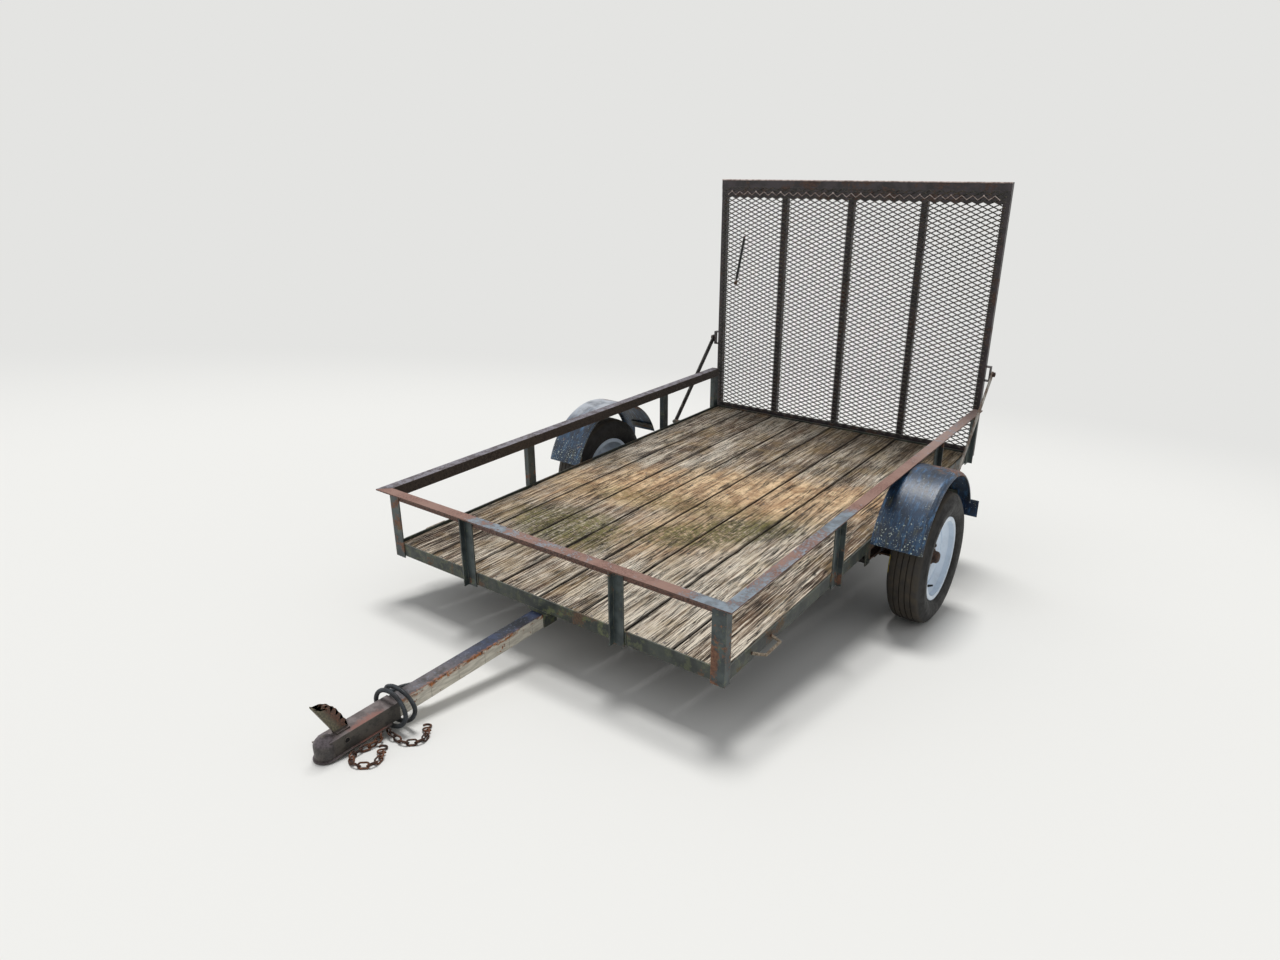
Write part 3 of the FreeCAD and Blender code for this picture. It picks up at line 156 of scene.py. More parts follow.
class Output:
    """A node's output; sums, products and ranges of outputs make the nodes that work them out."""

    def __init__(self, socket):
        self.socket = socket
        self.tree = socket.id_data

    def math(self, operation, other=0.0):
        """One sum with another output or a number."""
        return node(self.tree, "ShaderNodeMath", {0: self, 1: other}, operation=operation)

    __add__ = partialmethod(math, "ADD")
    __sub__ = partialmethod(math, "SUBTRACT")
    __mul__ = partialmethod(math, "MULTIPLY")
    __truediv__ = partialmethod(math, "DIVIDE")
    __abs__ = partialmethod(math, "ABSOLUTE")
    most = partialmethod(math, "MAXIMUM")

    def __rsub__(self, other):
        return node(self.tree, "ShaderNodeMath", {0: other, 1: self}, operation="SUBTRACT")

    def plus(self, other, share=1.0):
        """This and a share of another that is counted from its middle, 0.5."""
        return self + (other - 0.5) * share

    def parts(self):
        """The x, y and z of a vector."""
        apart = node(self.tree, "ShaderNodeSeparateXYZ", {0: self}).socket.node
        return [Output(socket) for socket in apart.outputs]

    def between(self, low, high, start=0.0, end=1.0):
        """This moved from low..high to start..end, and kept there."""
        return node(self.tree, "ShaderNodeMapRange", {0: self, 1: low, 2: high, 3: start, 4: end},
                    interpolation_type="SMOOTHSTEP")

    def tint(self, low, high, first, second):
        """A colour that goes from first to second while this goes from low to high."""
        return mix(self.between(low, high), first, second)

    def ramp(self, stops):
        """A share that follows stops: place, share."""
        low, high = stops[0][0], stops[-1][0]
        even = node(self.tree, "ShaderNodeMapRange", {0: self, 1: low, 2: high})
        made = node(self.tree, "ShaderNodeValToRGB", {0: even})
        elements = made.socket.node.color_ramp.elements
        while len(elements) < len(stops):
            elements.new(0.5)
        for element, (place, share) in zip(elements, stops):
            element.position = (place - low) / (high - low)
            element.color = (share, share, share, 1.0)
        return made


class Finish:
    """A material being built: its tree, its shader and its coordinates on the level trailer, in metres."""

    def __init__(self, name):
        self.material = bpy.data.materials.new(name)
        self.material.use_nodes = True
        self.tree = self.material.node_tree
        self.tree.nodes.clear()
        shader = node(self.tree, "ShaderNodeBsdfPrincipled")
        self.inputs = shader.socket.node.inputs
        join(shader, self.tree.nodes.new("ShaderNodeOutputMaterial").inputs["Surface"])
        level = PARK.inverted()
        self.place = node(self.tree, "ShaderNodeMapping", {
            0: node(self.tree, "ShaderNodeTexCoord", output="Object"),
            "Location": tuple(level.translation), "Rotation": tuple(level.to_euler("XYZ"))})
        self.x, self.y, self.z = self.place.parts()
        self.up = node(self.tree, "ShaderNodeNewGeometry", output="Normal").parts()[2]

    def noise(self, size_mm, detail=4.0, roughness=0.6, distortion=0.0, shift=None):
        """Noise with features of about this size: one number, or sizes across, along and up the trailer."""
        place, scale = self.place, 1.0
        if shift:
            place = node(self.tree, "ShaderNodeVectorMath", {0: place, 1: shift}, operation="ADD")
        if isinstance(size_mm, tuple):
            scales = tuple(per_metre(size) for size in size_mm)
            place = node(self.tree, "ShaderNodeMapping", {0: place, "Scale": scales})
        else:
            scale = per_metre(size_mm)
        return node(self.tree, "ShaderNodeTexNoise", {
            "Vector": place, "Scale": scale, "Detail": detail, "Roughness": roughness, "Distortion": distortion})

    def around(self, height):
        """Angle and distance about the line across the trailer over the axle, at a height in millimetres."""
        along, above = self.y - AXLE_PLACE / 1000, self.z - height / 1000
        return above.math("ARCTAN2", along), distance(along, above)

    def patch(self, x, y, reach_x, reach_y, ragged_mm, softness, slope=0.0):
        """1 inside an oval patch with a ragged edge; its long way rises along the bed by slope."""
        across = self.x - x
        reach = distance(across / reach_x, (self.y - y - across * slope) / reach_y)
        ragged = reach.plus(self.noise(ragged_mm, 6.0, 0.65), 1.3)
        return ragged.between(1.0 + softness, 1.0 - softness)

    def edges(self, radius_mm):
        """1 along outer edges of this radius, 0 elsewhere: the mask for rubbed edges that are also painted
        lighter as a highlight; and the rounded normal.
        """
        rounded = node(self.tree, "ShaderNodeBevel", {0: radius_mm / 1000}, samples=4)
        flat = node(self.tree, "ShaderNodeNewGeometry", output="True Normal")
        match = node(self.tree, "ShaderNodeVectorMath", {0: rounded, 1: flat}, "Value", operation="DOT_PRODUCT")
        return match.between(0.97, 0.80), rounded

    def done(self, surface, roughness, relief=None, depth_mm=0.0, normal=None, more=None):
        """The material with its colour, its roughness, its relief and more of the shader's own numbers."""
        wanted = {"Base Color": surface, "Roughness": roughness, **(more or {})}
        if relief:
            inputs = {"Height": relief, "Distance": depth_mm / 1000}
            if normal:
                inputs["Normal"] = normal
            wanted["Normal"] = node(self.tree, "ShaderNodeBump", inputs)
        for name, value in wanted.items():
            join(value, self.inputs[name])
        return self.material


def old_paint(name, paint, rust, patch_mm, cover, gloss, edge=None, lichen=None, more_rust=None):
    """Brushed enamel on rolled steel that has weathered outdoors: matt paint with ragged rust patches.

    paint and rust each hold two hex colours; cover is the share that has gone to rust; edge pales the outer
    edges, for wear and as a painted highlight; lichen holds its colour, its share and how much of it each place
    shows.
    """
    f = Finish(name)
    fine = f.noise(9.0, 6.0, 0.7)
    grit = f.noise(2.6, 3.0, 0.6)
    ragged = f.noise(patch_mm, 8.0, 0.62).plus(fine, 0.45)
    if more_rust:
        ragged += more_rust(f)
    line = 0.62 - 0.30 * cover
    rusty = ragged.between(line - 0.025, line + 0.035)
    paints = f.noise(60.0, 5.0, 0.6).tint(0.38, 0.62, *paint)
    paints = mix(grit.between(0.62, 0.72) * 0.5, paints, rust[0])
    surface = mix(rusty, paints, fine.tint(0.35, 0.65, *rust))
    if lichen:
        shade, share, where = lichen
        green = f.noise(34.0, 7.0, 0.7).between(0.68 - 0.3 * share, 0.78 - 0.3 * share)
        surface = mix(green * where(f), surface, shade)
    # Outer edges go paler: rubbed paint and a painted highlight along the edge
    edge_wear_and_highlight, rounded = f.edges(2.2)
    if edge:
        surface = mix(edge_wear_and_highlight * f.noise(22.0, 4.0, 0.6).between(0.3, 0.55), surface, edge)
    return f.done(surface, rusty.between(0.0, 1.0, gloss, 0.86), rusty * 0.5 + grit * 0.5, 0.9, rounded)


def corner_rust(f):
    """More rust low on the left front corner's post and a little on the right one's."""
    near = f.x.between(0.70, 0.715) * f.y.between(0.06, 0.03)
    low = f.z.between(0.27, -0.03, 0.0, 0.22) * f.x.between(0.752, 0.738, 0.25, 1.0)
    far = f.x.between(-0.70, -0.715) * f.y.between(0.06, 0.03, 0.0, 0.07)
    return near * low + far


def front_moss(f):
    """Moss is strongest on the front of the frame beside the tongue."""
    beside = f.x.ramp([(-0.8, 0.5), (-0.1, 0.3), (0.06, 0.9), (0.3, 0.8), (0.5, 0.35), (0.8, 0.5)])
    return beside * f.y.between(0.3, 0.0, 0.35, 1.0)


def rail_paint():
    """Top rail: chalked blue-grey enamel over red-brown rust on the left and front, grey on the right; its
    upright faces are painted darker as shade, near-black on the right rail.
    """
    f = Finish("chalked_enamel_over_rust")
    broad = f.noise(46.0, 8.0, 0.66)
    fine = f.noise(8.0, 6.0, 0.7)
    grit = f.noise(2.4, 3.0, 0.6)
    front = f.x.ramp([
        (-0.8, 0.12), (-0.33, 0.16), (-0.27, 0.66), (-0.12, 0.62), (-0.04, 0.36), (0.10, 0.52),
        (0.22, 0.40), (0.36, 0.32), (0.58, 0.30), (0.66, 0.62), (0.74, 0.86), (0.80, 0.70)])
    side = f.y.ramp([
        (-0.1, 0.66), (0.06, 0.70), (0.20, 0.60), (0.42, 0.46), (0.60, 0.58), (0.68, 0.88), (0.80, 0.80),
        (0.88, 0.30), (1.20, 0.20), (1.6, 0.34), (2.0, 0.42), (2.5, 0.30)])
    on_side = (abs(f.x) + f.y).between(0.760, 0.764)
    share = on_side * side + (1.0 - on_side) * front
    blue = share.plus(broad, 1.3).plus(fine, 1.5).between(0.50, 0.62)
    reds = fine.tint(0.36, 0.64, "#66493F", "#8F6B5F")
    reds = f.noise(130.0, 5.0, 0.6).tint(0.40, 0.62, reds, "#8B6C60")
    reds = mix(f.y.between(1.2, 2.0, 0.0, 0.55), reds, "#958680")
    blues = broad.tint(0.42, 0.60, "#5E676F", "#7B8791")
    blues = grit.tint(0.58, 0.70, blues, "#7C6A68")
    far = f.x.between(-0.700, -0.712) * on_side
    greys = broad.plus(fine, 0.6).tint(0.40, 0.58, "#4C4447", "#77737B")
    flat = mix(far, mix(blue, reds, blues), greys)
    # Upright faces take darker rust browns, partly their rust and partly painted shade; the right rail's upright
    # faces are near-black painted shade
    painted_shade_far = fine.tint(0.36, 0.62, "#231C19", "#3E332D")
    upright = mix(far, fine.tint(0.4, 0.6, "#41302A", "#6B4B3F"), painted_shade_far)
    edge_wear_and_highlight, rounded = f.edges(2.2)
    surface = f.up.tint(0.5, 0.8, upright, flat)
    # Outer edges go paler: rubbed paint and a painted highlight
    surface = mix(edge_wear_and_highlight * fine.between(0.35, 0.6) * 0.6, surface, "#A48B80")
    return f.done(surface, blue.between(0.0, 1.0, 0.72, 0.5), blue * 0.5 + grit * 0.6, 0.8, rounded)


def deck_wood():
    """Softwood planks left outdoors for years: silver and brown open grain, dry checks, soil and moss; painted
    shade in the checks, along the gaps and on the planks' sides, and a painted gate shadow towards the rear.
    """
    f = Finish("weathered_softwood")
    pitch = BOARD_PITCH / 1000
    from_edge = f.x + (HALF_BED - ANGLE_WALL - BOARD_GAP / 2) / 1000
    board = (from_edge / pitch).math("FLOOR")
    chance = node(f.tree, "ShaderNodeTexWhiteNoise", {"W": board}, noise_dimensions="1D")
    shift = node(f.tree, "ShaderNodeCombineXYZ", {0: chance * 3.0, 1: chance * 7.0})

    def grain(across_mm, along_mm, detail, roughness=0.6, distortion=0.0):
        return f.noise((across_mm, along_mm, across_mm), detail, roughness, distortion, shift)

    streaks = grain(6.5, 300.0, 8.0, 0.72, 0.5)
    fibres = grain(2.4, 95.0, 4.0, 0.72)
    bands = grain(60.0, 900.0, 3.0, 0.6, 0.4)
    tone = streaks.plus(fibres, 0.55).plus(bands, 0.55).plus(chance, 0.05)
    tone = tone.plus(f.noise(230.0, 5.0, 0.62), 0.35)
    pale = f.x.between(-0.15, 0.35) * f.y.between(1.15, 0.55)
    # Darker towards the rear and more towards the left: painted shadow of the gate
    painted_gate_shadow = f.y.between(1.5, 2.1)
    dark = f.x.between(-0.25, -0.6) * f.y.between(0.75, 0.2) + f.x.between(0.56, 0.58)
    tone = tone + pale * 0.055 - painted_gate_shadow * 0.02 - dark * 0.045
    browns = f.noise(110.0, 4.0, 0.6).tint(0.40, 0.60, "#40342B", "#5F4A3A")
    mids = fibres.tint(0.40, 0.60, "#978673", "#BEAE9A")
    surface = tone.tint(0.425, 0.490, browns, mids)
    surface = tone.tint(0.50, 0.59, surface, "#DDD2C0")
    surface = mix(painted_gate_shadow * f.x.between(-0.2, 0.5, 0.15, 0.4), surface, "#6A5E4C")
    surface = mix(f.noise(150.0, 5.0, 0.65).between(0.46, 0.62) * 0.3, surface, "#A38A5E")

    soil = f.patch(0.0, 1.215, 0.80, 0.30, 130.0, 0.35, slope=0.42)
    soil = soil.most(f.patch(0.09, 0.74, 0.24, 0.26, 120.0, 0.45) * 0.7)
    crumbs = f.noise(14.0, 8.0, 0.75)
    earth = f.noise(70.0, 7.0, 0.7).tint(0.40, 0.60, "#B38F6B", "#E2C49C")
    earth = crumbs.tint(0.56, 0.66, earth, "#E8D2AE")
    earth = crumbs.tint(0.42, 0.34, earth, "#6A4E36")
    surface = mix(soil * crumbs.plus(streaks, 0.8).between(0.30, 0.52, 0.45, 0.95), surface, earth)

    moss = f.patch(-0.31, 0.53, 0.27, 0.17, 80.0, 0.4)
    moss = moss.most(f.patch(0.24, 0.86, 0.25, 0.17, 80.0, 0.4, slope=0.8))
    moss = moss.most(f.patch(-0.06, 1.0, 0.5, 0.10, 90.0, 0.5, slope=0.2) * 0.6)
    specks = f.noise(19.0, 8.0, 0.78).between(0.38, 0.54)
    greens = f.noise(8.0, 4.0, 0.7).tint(0.38, 0.60, "#403D23", "#78743F")
    surface = mix(moss * specks * 0.85, surface, greens)

    long_checks = abs(grain(16.0, 700.0, 5.0, 0.55, 0.4) - 0.5)
    short_checks = abs(grain(6.0, 240.0, 3.0, 0.5, 0.3) - 0.5)
    split = long_checks.between(0.022, 0.008) * grain(40.0, 160.0, 4.0, 0.6).between(0.38, 0.46)
    split = split.most(short_checks.between(0.036, 0.014) * bands.between(0.41, 0.51))
    # Checks painted near-black: painted shade inside the cracks
    surface = mix(split * 0.92, surface, "#1B1511")
    across = from_edge - board * pitch
    to_gap = across.math("MINIMUM", (pitch - BOARD_GAP / 1000) - across)
    # Near-black along each plank's edge by the gaps: painted shade of the gaps
    surface = mix(to_gap.plus(streaks, 0.012).between(0.006, 0.001) * 0.8, surface, "#1F1813")
    # Near-black on faces that don't face up, the planks' sides and ends: painted shade
    surface = mix(f.up.between(0.5, 0.2) * 0.85, surface, "#1D1713")
    relief = fibres * 0.6 - split * 1.5 + streaks * 0.8
    return f.done(surface, 0.9, relief, 1.8, f.edges(3.0)[1], {"Specular IOR Level": 0.3})


def tongue_paint():
    """Square tube: dark blue enamel on top, cream enamel on the sides, both flaked off to orange rust."""
    f = Finish("two_colour_enamel")
    fine = f.noise(11.0, 7.0, 0.72)
    streak = f.noise((24.0, 60.0, 9.0), 5.0, 0.65)
    blue = f.noise(60.0, 6.0, 0.65).tint(0.42, 0.58, "#131926", "#26324E")
    greys = f.noise(40.0, 6.0, 0.65).tint(0.40, 0.60, "#3B3637", "#625D60")
    blue = f.y.tint(-0.46, -0.22, greys, blue)
    blue = mix(fine.plus(streak, 0.4).between(0.56, 0.64) * 0.4, blue, "#7C879A")
    cream = streak.tint(0.38, 0.62, "#D2CCBE", "#B2AC9E")
    seam = abs((f.y * 9.0).math("FRACT") - 0.5).between(0.010, 0.004)
    cream = mix(seam * f.z.between(0.0, -0.03, 0.0, 0.7), cream, "#6C6453")
    upper = f.z.plus(fine, 0.022).between(-0.029, -0.021)
    spots = upper * f.noise((30.0, 60.0, 30.0), 6.0, 0.7).between(0.44, 0.54)
    flaked = spots.most(f.noise(30.0, 8.0, 0.7).between(0.60, 0.64))
    cream = mix(flaked, cream, fine.tint(0.4, 0.6, "#4F3022", "#B06A30"))
    near_edge = f.x.plus(fine, 0.03).between(0.0175, 0.0205) * f.y.between(-0.08, -0.24, 0.15, 0.85)
    blue = mix(near_edge, blue, fine.tint(0.4, 0.6, "#4A342B", "#8B5B41"))
    top = f.up.between(0.5, 0.7)
    relief = f.noise(2.4, 3.0, 0.6) * 0.4 + fine
    return f.done(mix(top, cream, blue), top.between(0.0, 1.0, 0.7, 0.5), relief, 0.8, f.edges(3.0)[1])


def fender_paint():
    """Navy gloss enamel on rolled sheet: scratches, pale chips by the front edge, rust on the crown; streaks of
    painted sky reflection, painted shade under the arch and edges paled by rubbing and a painted highlight.
    """
    f = Finish("scratched_navy_gloss_enamel")
    runs = f.noise((14.0, 70.0, 70.0), 5.0, 0.65)
    scratch = f.noise((2.4, 60.0, 60.0), 4.0, 0.6)
    cloud = f.noise(80.0, 6.0, 0.62)
    chips = f.noise(7.0, 3.0, 0.6)
    turn, reach = f.around(FENDER_CENTRE)
    navy = cloud.tint(0.38, 0.62, "#0C1B2D", "#19344F")
    # Pale blue streaks: painted reflection of the sky
    navy = mix(runs.between(0.50, 0.66) * 0.55, navy, "#41719C")
    navy = mix(runs.between(0.42, 0.34) * 0.45, navy, "#57583F")
    navy = mix(scratch.between(0.62, 0.72) * 0.5, navy, "#8FA3BC")
    spots = (chips + turn.between(2.25, 2.75) * 0.075).between(0.68, 0.71)
    navy = mix(spots, navy, "#C2D0C6")
    crown = turn.between(1.75, 1.35) * turn.between(0.55, 1.0)
    rust = (f.noise(50.0, 8.0, 0.7) + crown * 0.17).between(0.62, 0.70)
    surface = mix(rust, navy, chips.tint(0.4, 0.6, "#46302A", "#80604F"))
    chalk = f.x.between(-0.8, -0.82) * turn.between(2.3, 1.9) * turn.between(1.2, 1.5)
    surface = mix(chalk * cloud.between(0.35, 0.55, 0.3, 0.8), surface, "#B9BDC4")
    # Near-black where the sheet lies nearer the axle's line than its outer face: painted shade under the fender
    surface = mix(reach.between(0.3285, 0.3275) * 0.85, surface, "#17181A")
    lamp_plate = f.y.between(1.772, 1.780)
    surface = mix(lamp_plate * 0.8, surface, "#2C3262")
    edge_wear_and_highlight, rounded = f.edges(1.8)
    # Outer edges go paler: rubbed paint and a painted highlight
    surface = mix(edge_wear_and_highlight * 0.6, surface, "#8E979B")
    roughness = rust.between(0.0, 1.0, 0.34, 0.78) + cloud * 0.12
    return f.done(surface, roughness, cloud * 2.4 + spots * -0.3, 1.3, rounded,
                  {"Coat Weight": 0.12, "Coat Roughness": 0.4})


def tyre_rubber():
    """Sun-faded tyre rubber: charcoal sidewall, brown road dust on the tread, yellow crayon inboard."""
    f = Finish("faded_tyre_rubber")
    turn, reach = f.around(AXLE_HEIGHT)
    dust = f.noise(40.0, 7.0, 0.7).between(0.35, 0.65)
    side = mix(dust, "#0D0C0C", "#1C1B1A")
    surface = reach.tint(0.270, 0.282, side, mix(dust, "#27231E", "#423B31"))
    inboard = f.x.between(0.842, 0.838) * f.x.between(0.7, 0.71)
    band = reach.between(0.222, 0.227) * reach.between(0.272, 0.266)
    where = inboard * band * (turn.between(2.82, 2.86) * turn.between(3.14, 3.12))
    strokes = f.noise(17.0, 2.0, 0.5, distortion=1.2).between(0.45, 0.49)
    surface = mix(where * strokes * 0.9, surface, "#B9A52C")
    return f.done(surface, dust.between(0.0, 1.0, 0.62, 0.85), f.noise(3.0, 4.0, 0.7), 0.5)


def wheel_enamel():
    """White stove enamel, tinted pale blue as painted skylight, with a film of road dust and a few rust specks.
    """
    f = Finish("white_stove_enamel")
    dust = f.noise(50.0, 6.0, 0.65).between(0.42, 0.72)
    # The blue in both whites is painted skylight
    surface = mix(dust * 0.4, "#DCE9F7", "#BAC8D5")
    surface = f.noise(6.0, 4.0, 0.7).tint(0.70, 0.74, surface, "#7A4A30")
    seat = f.around(AXLE_HEIGHT)[1].plus(f.noise(20.0, 6.0, 0.7), 0.03).between(0.086, 0.072)
    surface = mix(seat * 0.8, surface, "#6B4A38")
    return f.done(surface, dust.between(0.0, 1.0, 0.3, 0.5), f.noise(12.0, 3.0, 0.5), 0.25, f.edges(2.0)[1])


def rusted_fittings():
    """Bare rusted steel, with pale tie-down loops that are a painted highlight; the coupler keeps a dark oily
    film, with a red patch on its roof, a grey nose and edges paled by rubbing and a painted highlight.
    """
    f = Finish("rusted_steel_fittings")
    fine = f.noise(7.0, 7.0, 0.72)
    broad = f.noise(38.0, 6.0, 0.65)
    grit = f.noise(2.2, 3.0, 0.6)
    rust = broad.tint(0.40, 0.60, "#2C1D17", "#66402B")
    rust = fine.tint(0.56, 0.66, rust, "#94603B")
    hub = abs(f.x).between(0.845, 0.855)
    rust = mix(hub * 0.8, rust, fine.tint(0.4, 0.6, "#241B17", "#4A3A31"))
    # The tie-down loops are pale: painted highlight along the lit rod
    painted_lit_loop = abs(f.x).between(0.765, 0.768) * f.y.between(1.0, 0.9)
    rust = mix(painted_lit_loop * 0.85, rust, fine.tint(0.4, 0.6, "#6F6152", "#B3A691"))
    middle = f.y.between(-0.60, -0.605) * abs(f.x).between(0.041, 0.0395)
    coupler = middle * f.z.between(-0.0705, -0.0695)
    film = broad.plus(fine, 0.5).tint(0.40, 0.60, "#2B2824", "#4B463F")
    top = f.up.between(0.4, 0.75)
    film = mix(top * 0.85, film, broad.tint(0.38, 0.60, "#524847", "#746A69"))
    red = top * f.x.plus(fine, 0.07).between(0.0, 0.016)
    red = red * (f.y.between(-0.80, -0.77) * f.y.between(-0.66, -0.69))
    film = mix(red * broad.between(0.36, 0.52, 0.1, 0.85), film, "#7F5044")
    nose = f.y.between(-0.815, -0.85) * f.up.between(0.0, 0.5, 0.2, 0.9)
    film = mix(nose, film, fine.tint(0.4, 0.6, "#4A4246", "#665D62"))
    lever = middle * f.z.between(0.001, 0.005)
    film = mix(lever, film, fine.tint(0.42, 0.60, "#4B4738", "#6E6751"))
    teeth = lever * (f.y + f.z * 0.52).plus(fine, 0.03).between(-0.808, -0.790)
    film = mix(teeth, film, grit.tint(0.4, 0.6, "#2E2019", "#6E4630"))
    edge_wear_and_highlight, rounded = f.edges(1.8)
    # The coupler's outer edges go paler: rubbing and a painted highlight
    surface = mix(edge_wear_and_highlight * coupler * 0.45, mix(coupler, rust, film), "#8C7B70")
    return f.done(surface, coupler.between(0.0, 1.0, 0.85, 0.5), fine * 0.6 + grit * 0.5, 0.9, rounded)


def corrugated_loom():
    """Black polyethylene loom tube, satin, greyed a little by the sun."""
    f = Finish("black_polyethylene_loom")
    surface = f.noise(30.0, 4.0, 0.6).tint(0.35, 0.65, "#16181B", "#30363C")
    return f.done(surface, f.noise(8.0, 3.0, 0.6).between(0.3, 0.7, 0.4, 0.58))


def plug_plastic():
    """Black moulded rubbery plastic, matt."""
    f = Finish("black_moulded_plug")
    return f.done(mix(f.noise(20.0), "#141414", "#2A2A2A"), 0.6, f.noise(2.0), 0.2, f.edges(1.5)[1])


def zinc_screw():
    """Zinc-plated screw heads, dulled and rust-stained."""
    f = Finish("dull_zinc_screw")
    return f.done(f.noise(4.0).tint(0.4, 0.6, "#4A3A30", "#8B8680"), 0.55, more={"Metallic": 0.6})


def dark_hole():
    """Painted shade: the black inside of a punched hole."""
    return Finish("black_hole_shadow").done("#0B0A09", 1.0)


def cut_edge_wear_and_highlight():
    """Cut edge of the gate's sheet where the black has rubbed off to pale, rusty steel, paler still as a painted
    highlight; also the painted glints on it.
    """
    f = Finish("cut_steel_edge_wear_and_highlight")
    surface = f.noise(16.0, 4.0, 0.6).tint(0.38, 0.62, "#8A7873", "#C9BAB4")
    return f.done(surface, 0.5, more={"Metallic": 0.3})


# Each edge colour pales the outer edges: rubbed paint and a painted highlight
FINISHES = {
    "frame_paint": partial(
        old_paint, "olive_black_enamel", ("#222826", "#3A403A"), ("#43352A", "#665242"), 120.0, 0.12, 0.5,
        edge="#8B8C7C", lichen=("#5F6543", 0.6, front_moss)),
    "rail_rust": rail_paint,
    "post_paint": partial(
        old_paint, "teal_black_enamel", ("#262F31", "#404A4A"), ("#573D30", "#7C5945"), 70.0, 0.06, 0.45,
        edge="#84826F", lichen=("#5B624A", 0.4, lambda f: 0.7), more_rust=corner_rust),
    "gate_paint": partial(
        old_paint, "brown_black_enamel", ("#201B1D", "#383034"), ("#3A2A25", "#54423A"), 90.0, 0.15, 0.45,
        edge="#7C7476"),
    "gate_mesh_steel": partial(
        old_paint, "black_expanded_steel", ("#111110", "#262423"), ("#2B211B", "#4A3D31"), 60.0, 0.2, 0.42,
        edge="#7D7668"),
    "running_gear": partial(
        old_paint, "greasy_black_steel", ("#1A1816", "#2C2723"), ("#3B2B21", "#5A4232"), 60.0, 0.45, 0.6),
    # The lichen slot here makes the stay on the right (x below 0) near-black
    "stay_steel": partial(
        old_paint, "worn_grey_bar", ("#66635E", "#A09A91"), ("#5A4A40", "#7F6C5E"), 50.0, 0.3, 0.5,
        edge="#BDB7AE", lichen=("#1E1C1A", 1.2, lambda f: f.x.between(0.0, -0.1))),
    "rusty_steel": rusted_fittings,
    "tongue_paint": tongue_paint,
    "deck_wood": deck_wood,
    "fender_paint": fender_paint,
    "tyre_rubber": tyre_rubber,
    "wheel_paint": wheel_enamel,
    "harness_loom": corrugated_loom,
    "plug_plastic": plug_plastic,
    "zinc_screw": zinc_screw,
    "cut_edge_wear_and_highlight": cut_edge_wear_and_highlight,
    "dark_hole": dark_hole,
}
made_finishes = {}


def finish(slot):
    """The material of a slot, made once."""
    if slot not in made_finishes:
        made_finishes[slot] = FINISHES[slot]()
    return made_finishes[slot]


def in_scene(name, data):
    """An object of this data, in the scene."""
    made = bpy.data.objects.new(name, data)
    bpy.context.scene.collection.objects.link(made)
    return made


def evaluated(name, data, modify=None):
    """The plain mesh of a curve, or of a mesh with the modifiers that modify puts on it."""
    holder = in_scene(name, data)
    if modify:
        modify(holder)
    graph = bpy.context.evaluated_depsgraph_get()
    mesh = bpy.data.meshes.new_from_object(holder.evaluated_get(graph))
    holder.modifiers.clear()
    bpy.data.objects.remove(holder)
    return mesh


def from_bmesh(name, made):
    """A mesh from a bmesh, which it frees."""
    mesh = bpy.data.meshes.new(name)
    bmesh.ops.recalc_face_normals(made, faces=made.faces)
    made.to_mesh(mesh)
    made.free()
    return mesh


def new_piece(name, made, slot, body="chassis", nodes=(), smooth=None):
    """A mesh or bmesh as a finished piece on a body; an edge past smooth degrees stays sharp."""
    mesh = from_bmesh(name, made) if isinstance(made, bmesh.types.BMesh) else made
    piece = in_scene(name, mesh)
    mesh.materials.clear()
    mesh.materials.append(finish(slot))
    if smooth:
        mesh.shade_smooth()
        mesh.set_sharp_from_angle(angle=math.radians(smooth))
    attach(piece, body)
    if nodes:
        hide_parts(*nodes)
    return piece


def absorb(whole, part):
    """Adds one bmesh to another and frees it."""
    extra = bpy.data.meshes.new("absorbed")
    part.to_mesh(extra)
    part.free()
    whole.from_mesh(extra)
    bpy.data.meshes.remove(extra)


def turns(count):
    """Equal steps round a circle."""
    return [2 * math.pi * index / count for index in range(count)]


def arc(x, place, height, reach, steps):
    """Parked points at these turns about a line across the trailer, all in millimetres."""
    return [parked(x, place + reach * math.cos(turn), height + reach * math.sin(turn)) for turn in steps]


def skin(made, rings, closed=False):
    """Joins each ring of corners to the next; a closed one ends where it starts, others are capped."""
    for here, there in zip(rings, rings[1:] + rings[:1] if closed else rings[1:]):
        for corner in range(len(here)):
            made.faces.new((here[corner - 1], here[corner], there[corner], there[corner - 1]))
    if not closed:
        made.faces.new(rings[0])
        made.faces.new(rings[-1])


def round_wire(points, radius, sides, closed=False, across=None, reach=1):
    """A tube along points whose section doesn't twist; radius is one number, or one for each point."""
    made = bmesh.new()
    count = len(points)
    radii = radius if isinstance(radius, list) else [radius] * count
    rings = []
    for index, point in enumerate(points):
        before = points[index - 1 if closed else max(0, index - reach)]
        after = points[(index + 1) % count if closed else min(count - 1, index + reach)]
        way = (after - before).normalized()
        across = across or way.orthogonal().normalized()
        across = (across - way * across.dot(way)).normalized()
        other = way.cross(across)
        rings.append([made.verts.new(point + (across * math.cos(t) + other * math.sin(t)) * radii[index])
                      for t in turns(sides)])
    skin(made, rings, closed)
    return made


def new_tree(name, **sizes):
    """A geometry tree and its inputs: the base mesh's points, sizes with these defaults, the material."""
    tree = bpy.data.node_groups.new(name, "GeometryNodeTree")
    kinds = {float: "NodeSocketFloat", int: "NodeSocketInt"}
    tree.interface.new_socket("Points", in_out="INPUT", socket_type="NodeSocketGeometry")
    for label, default in sizes.items():
        socket = tree.interface.new_socket(label, in_out="INPUT", socket_type=kinds[type(default)])
        socket.default_value = default
    tree.interface.new_socket("material", in_out="INPUT", socket_type="NodeSocketMaterial")
    tree.interface.new_socket("Made", in_out="OUTPUT", socket_type="NodeSocketGeometry")
    outputs = tree.nodes.new("NodeGroupInput").outputs
    given = {label: Output(outputs[label]) for label in (*sizes, "material")}
    return tree, SimpleNamespace(points=Output(outputs[0]), **given)


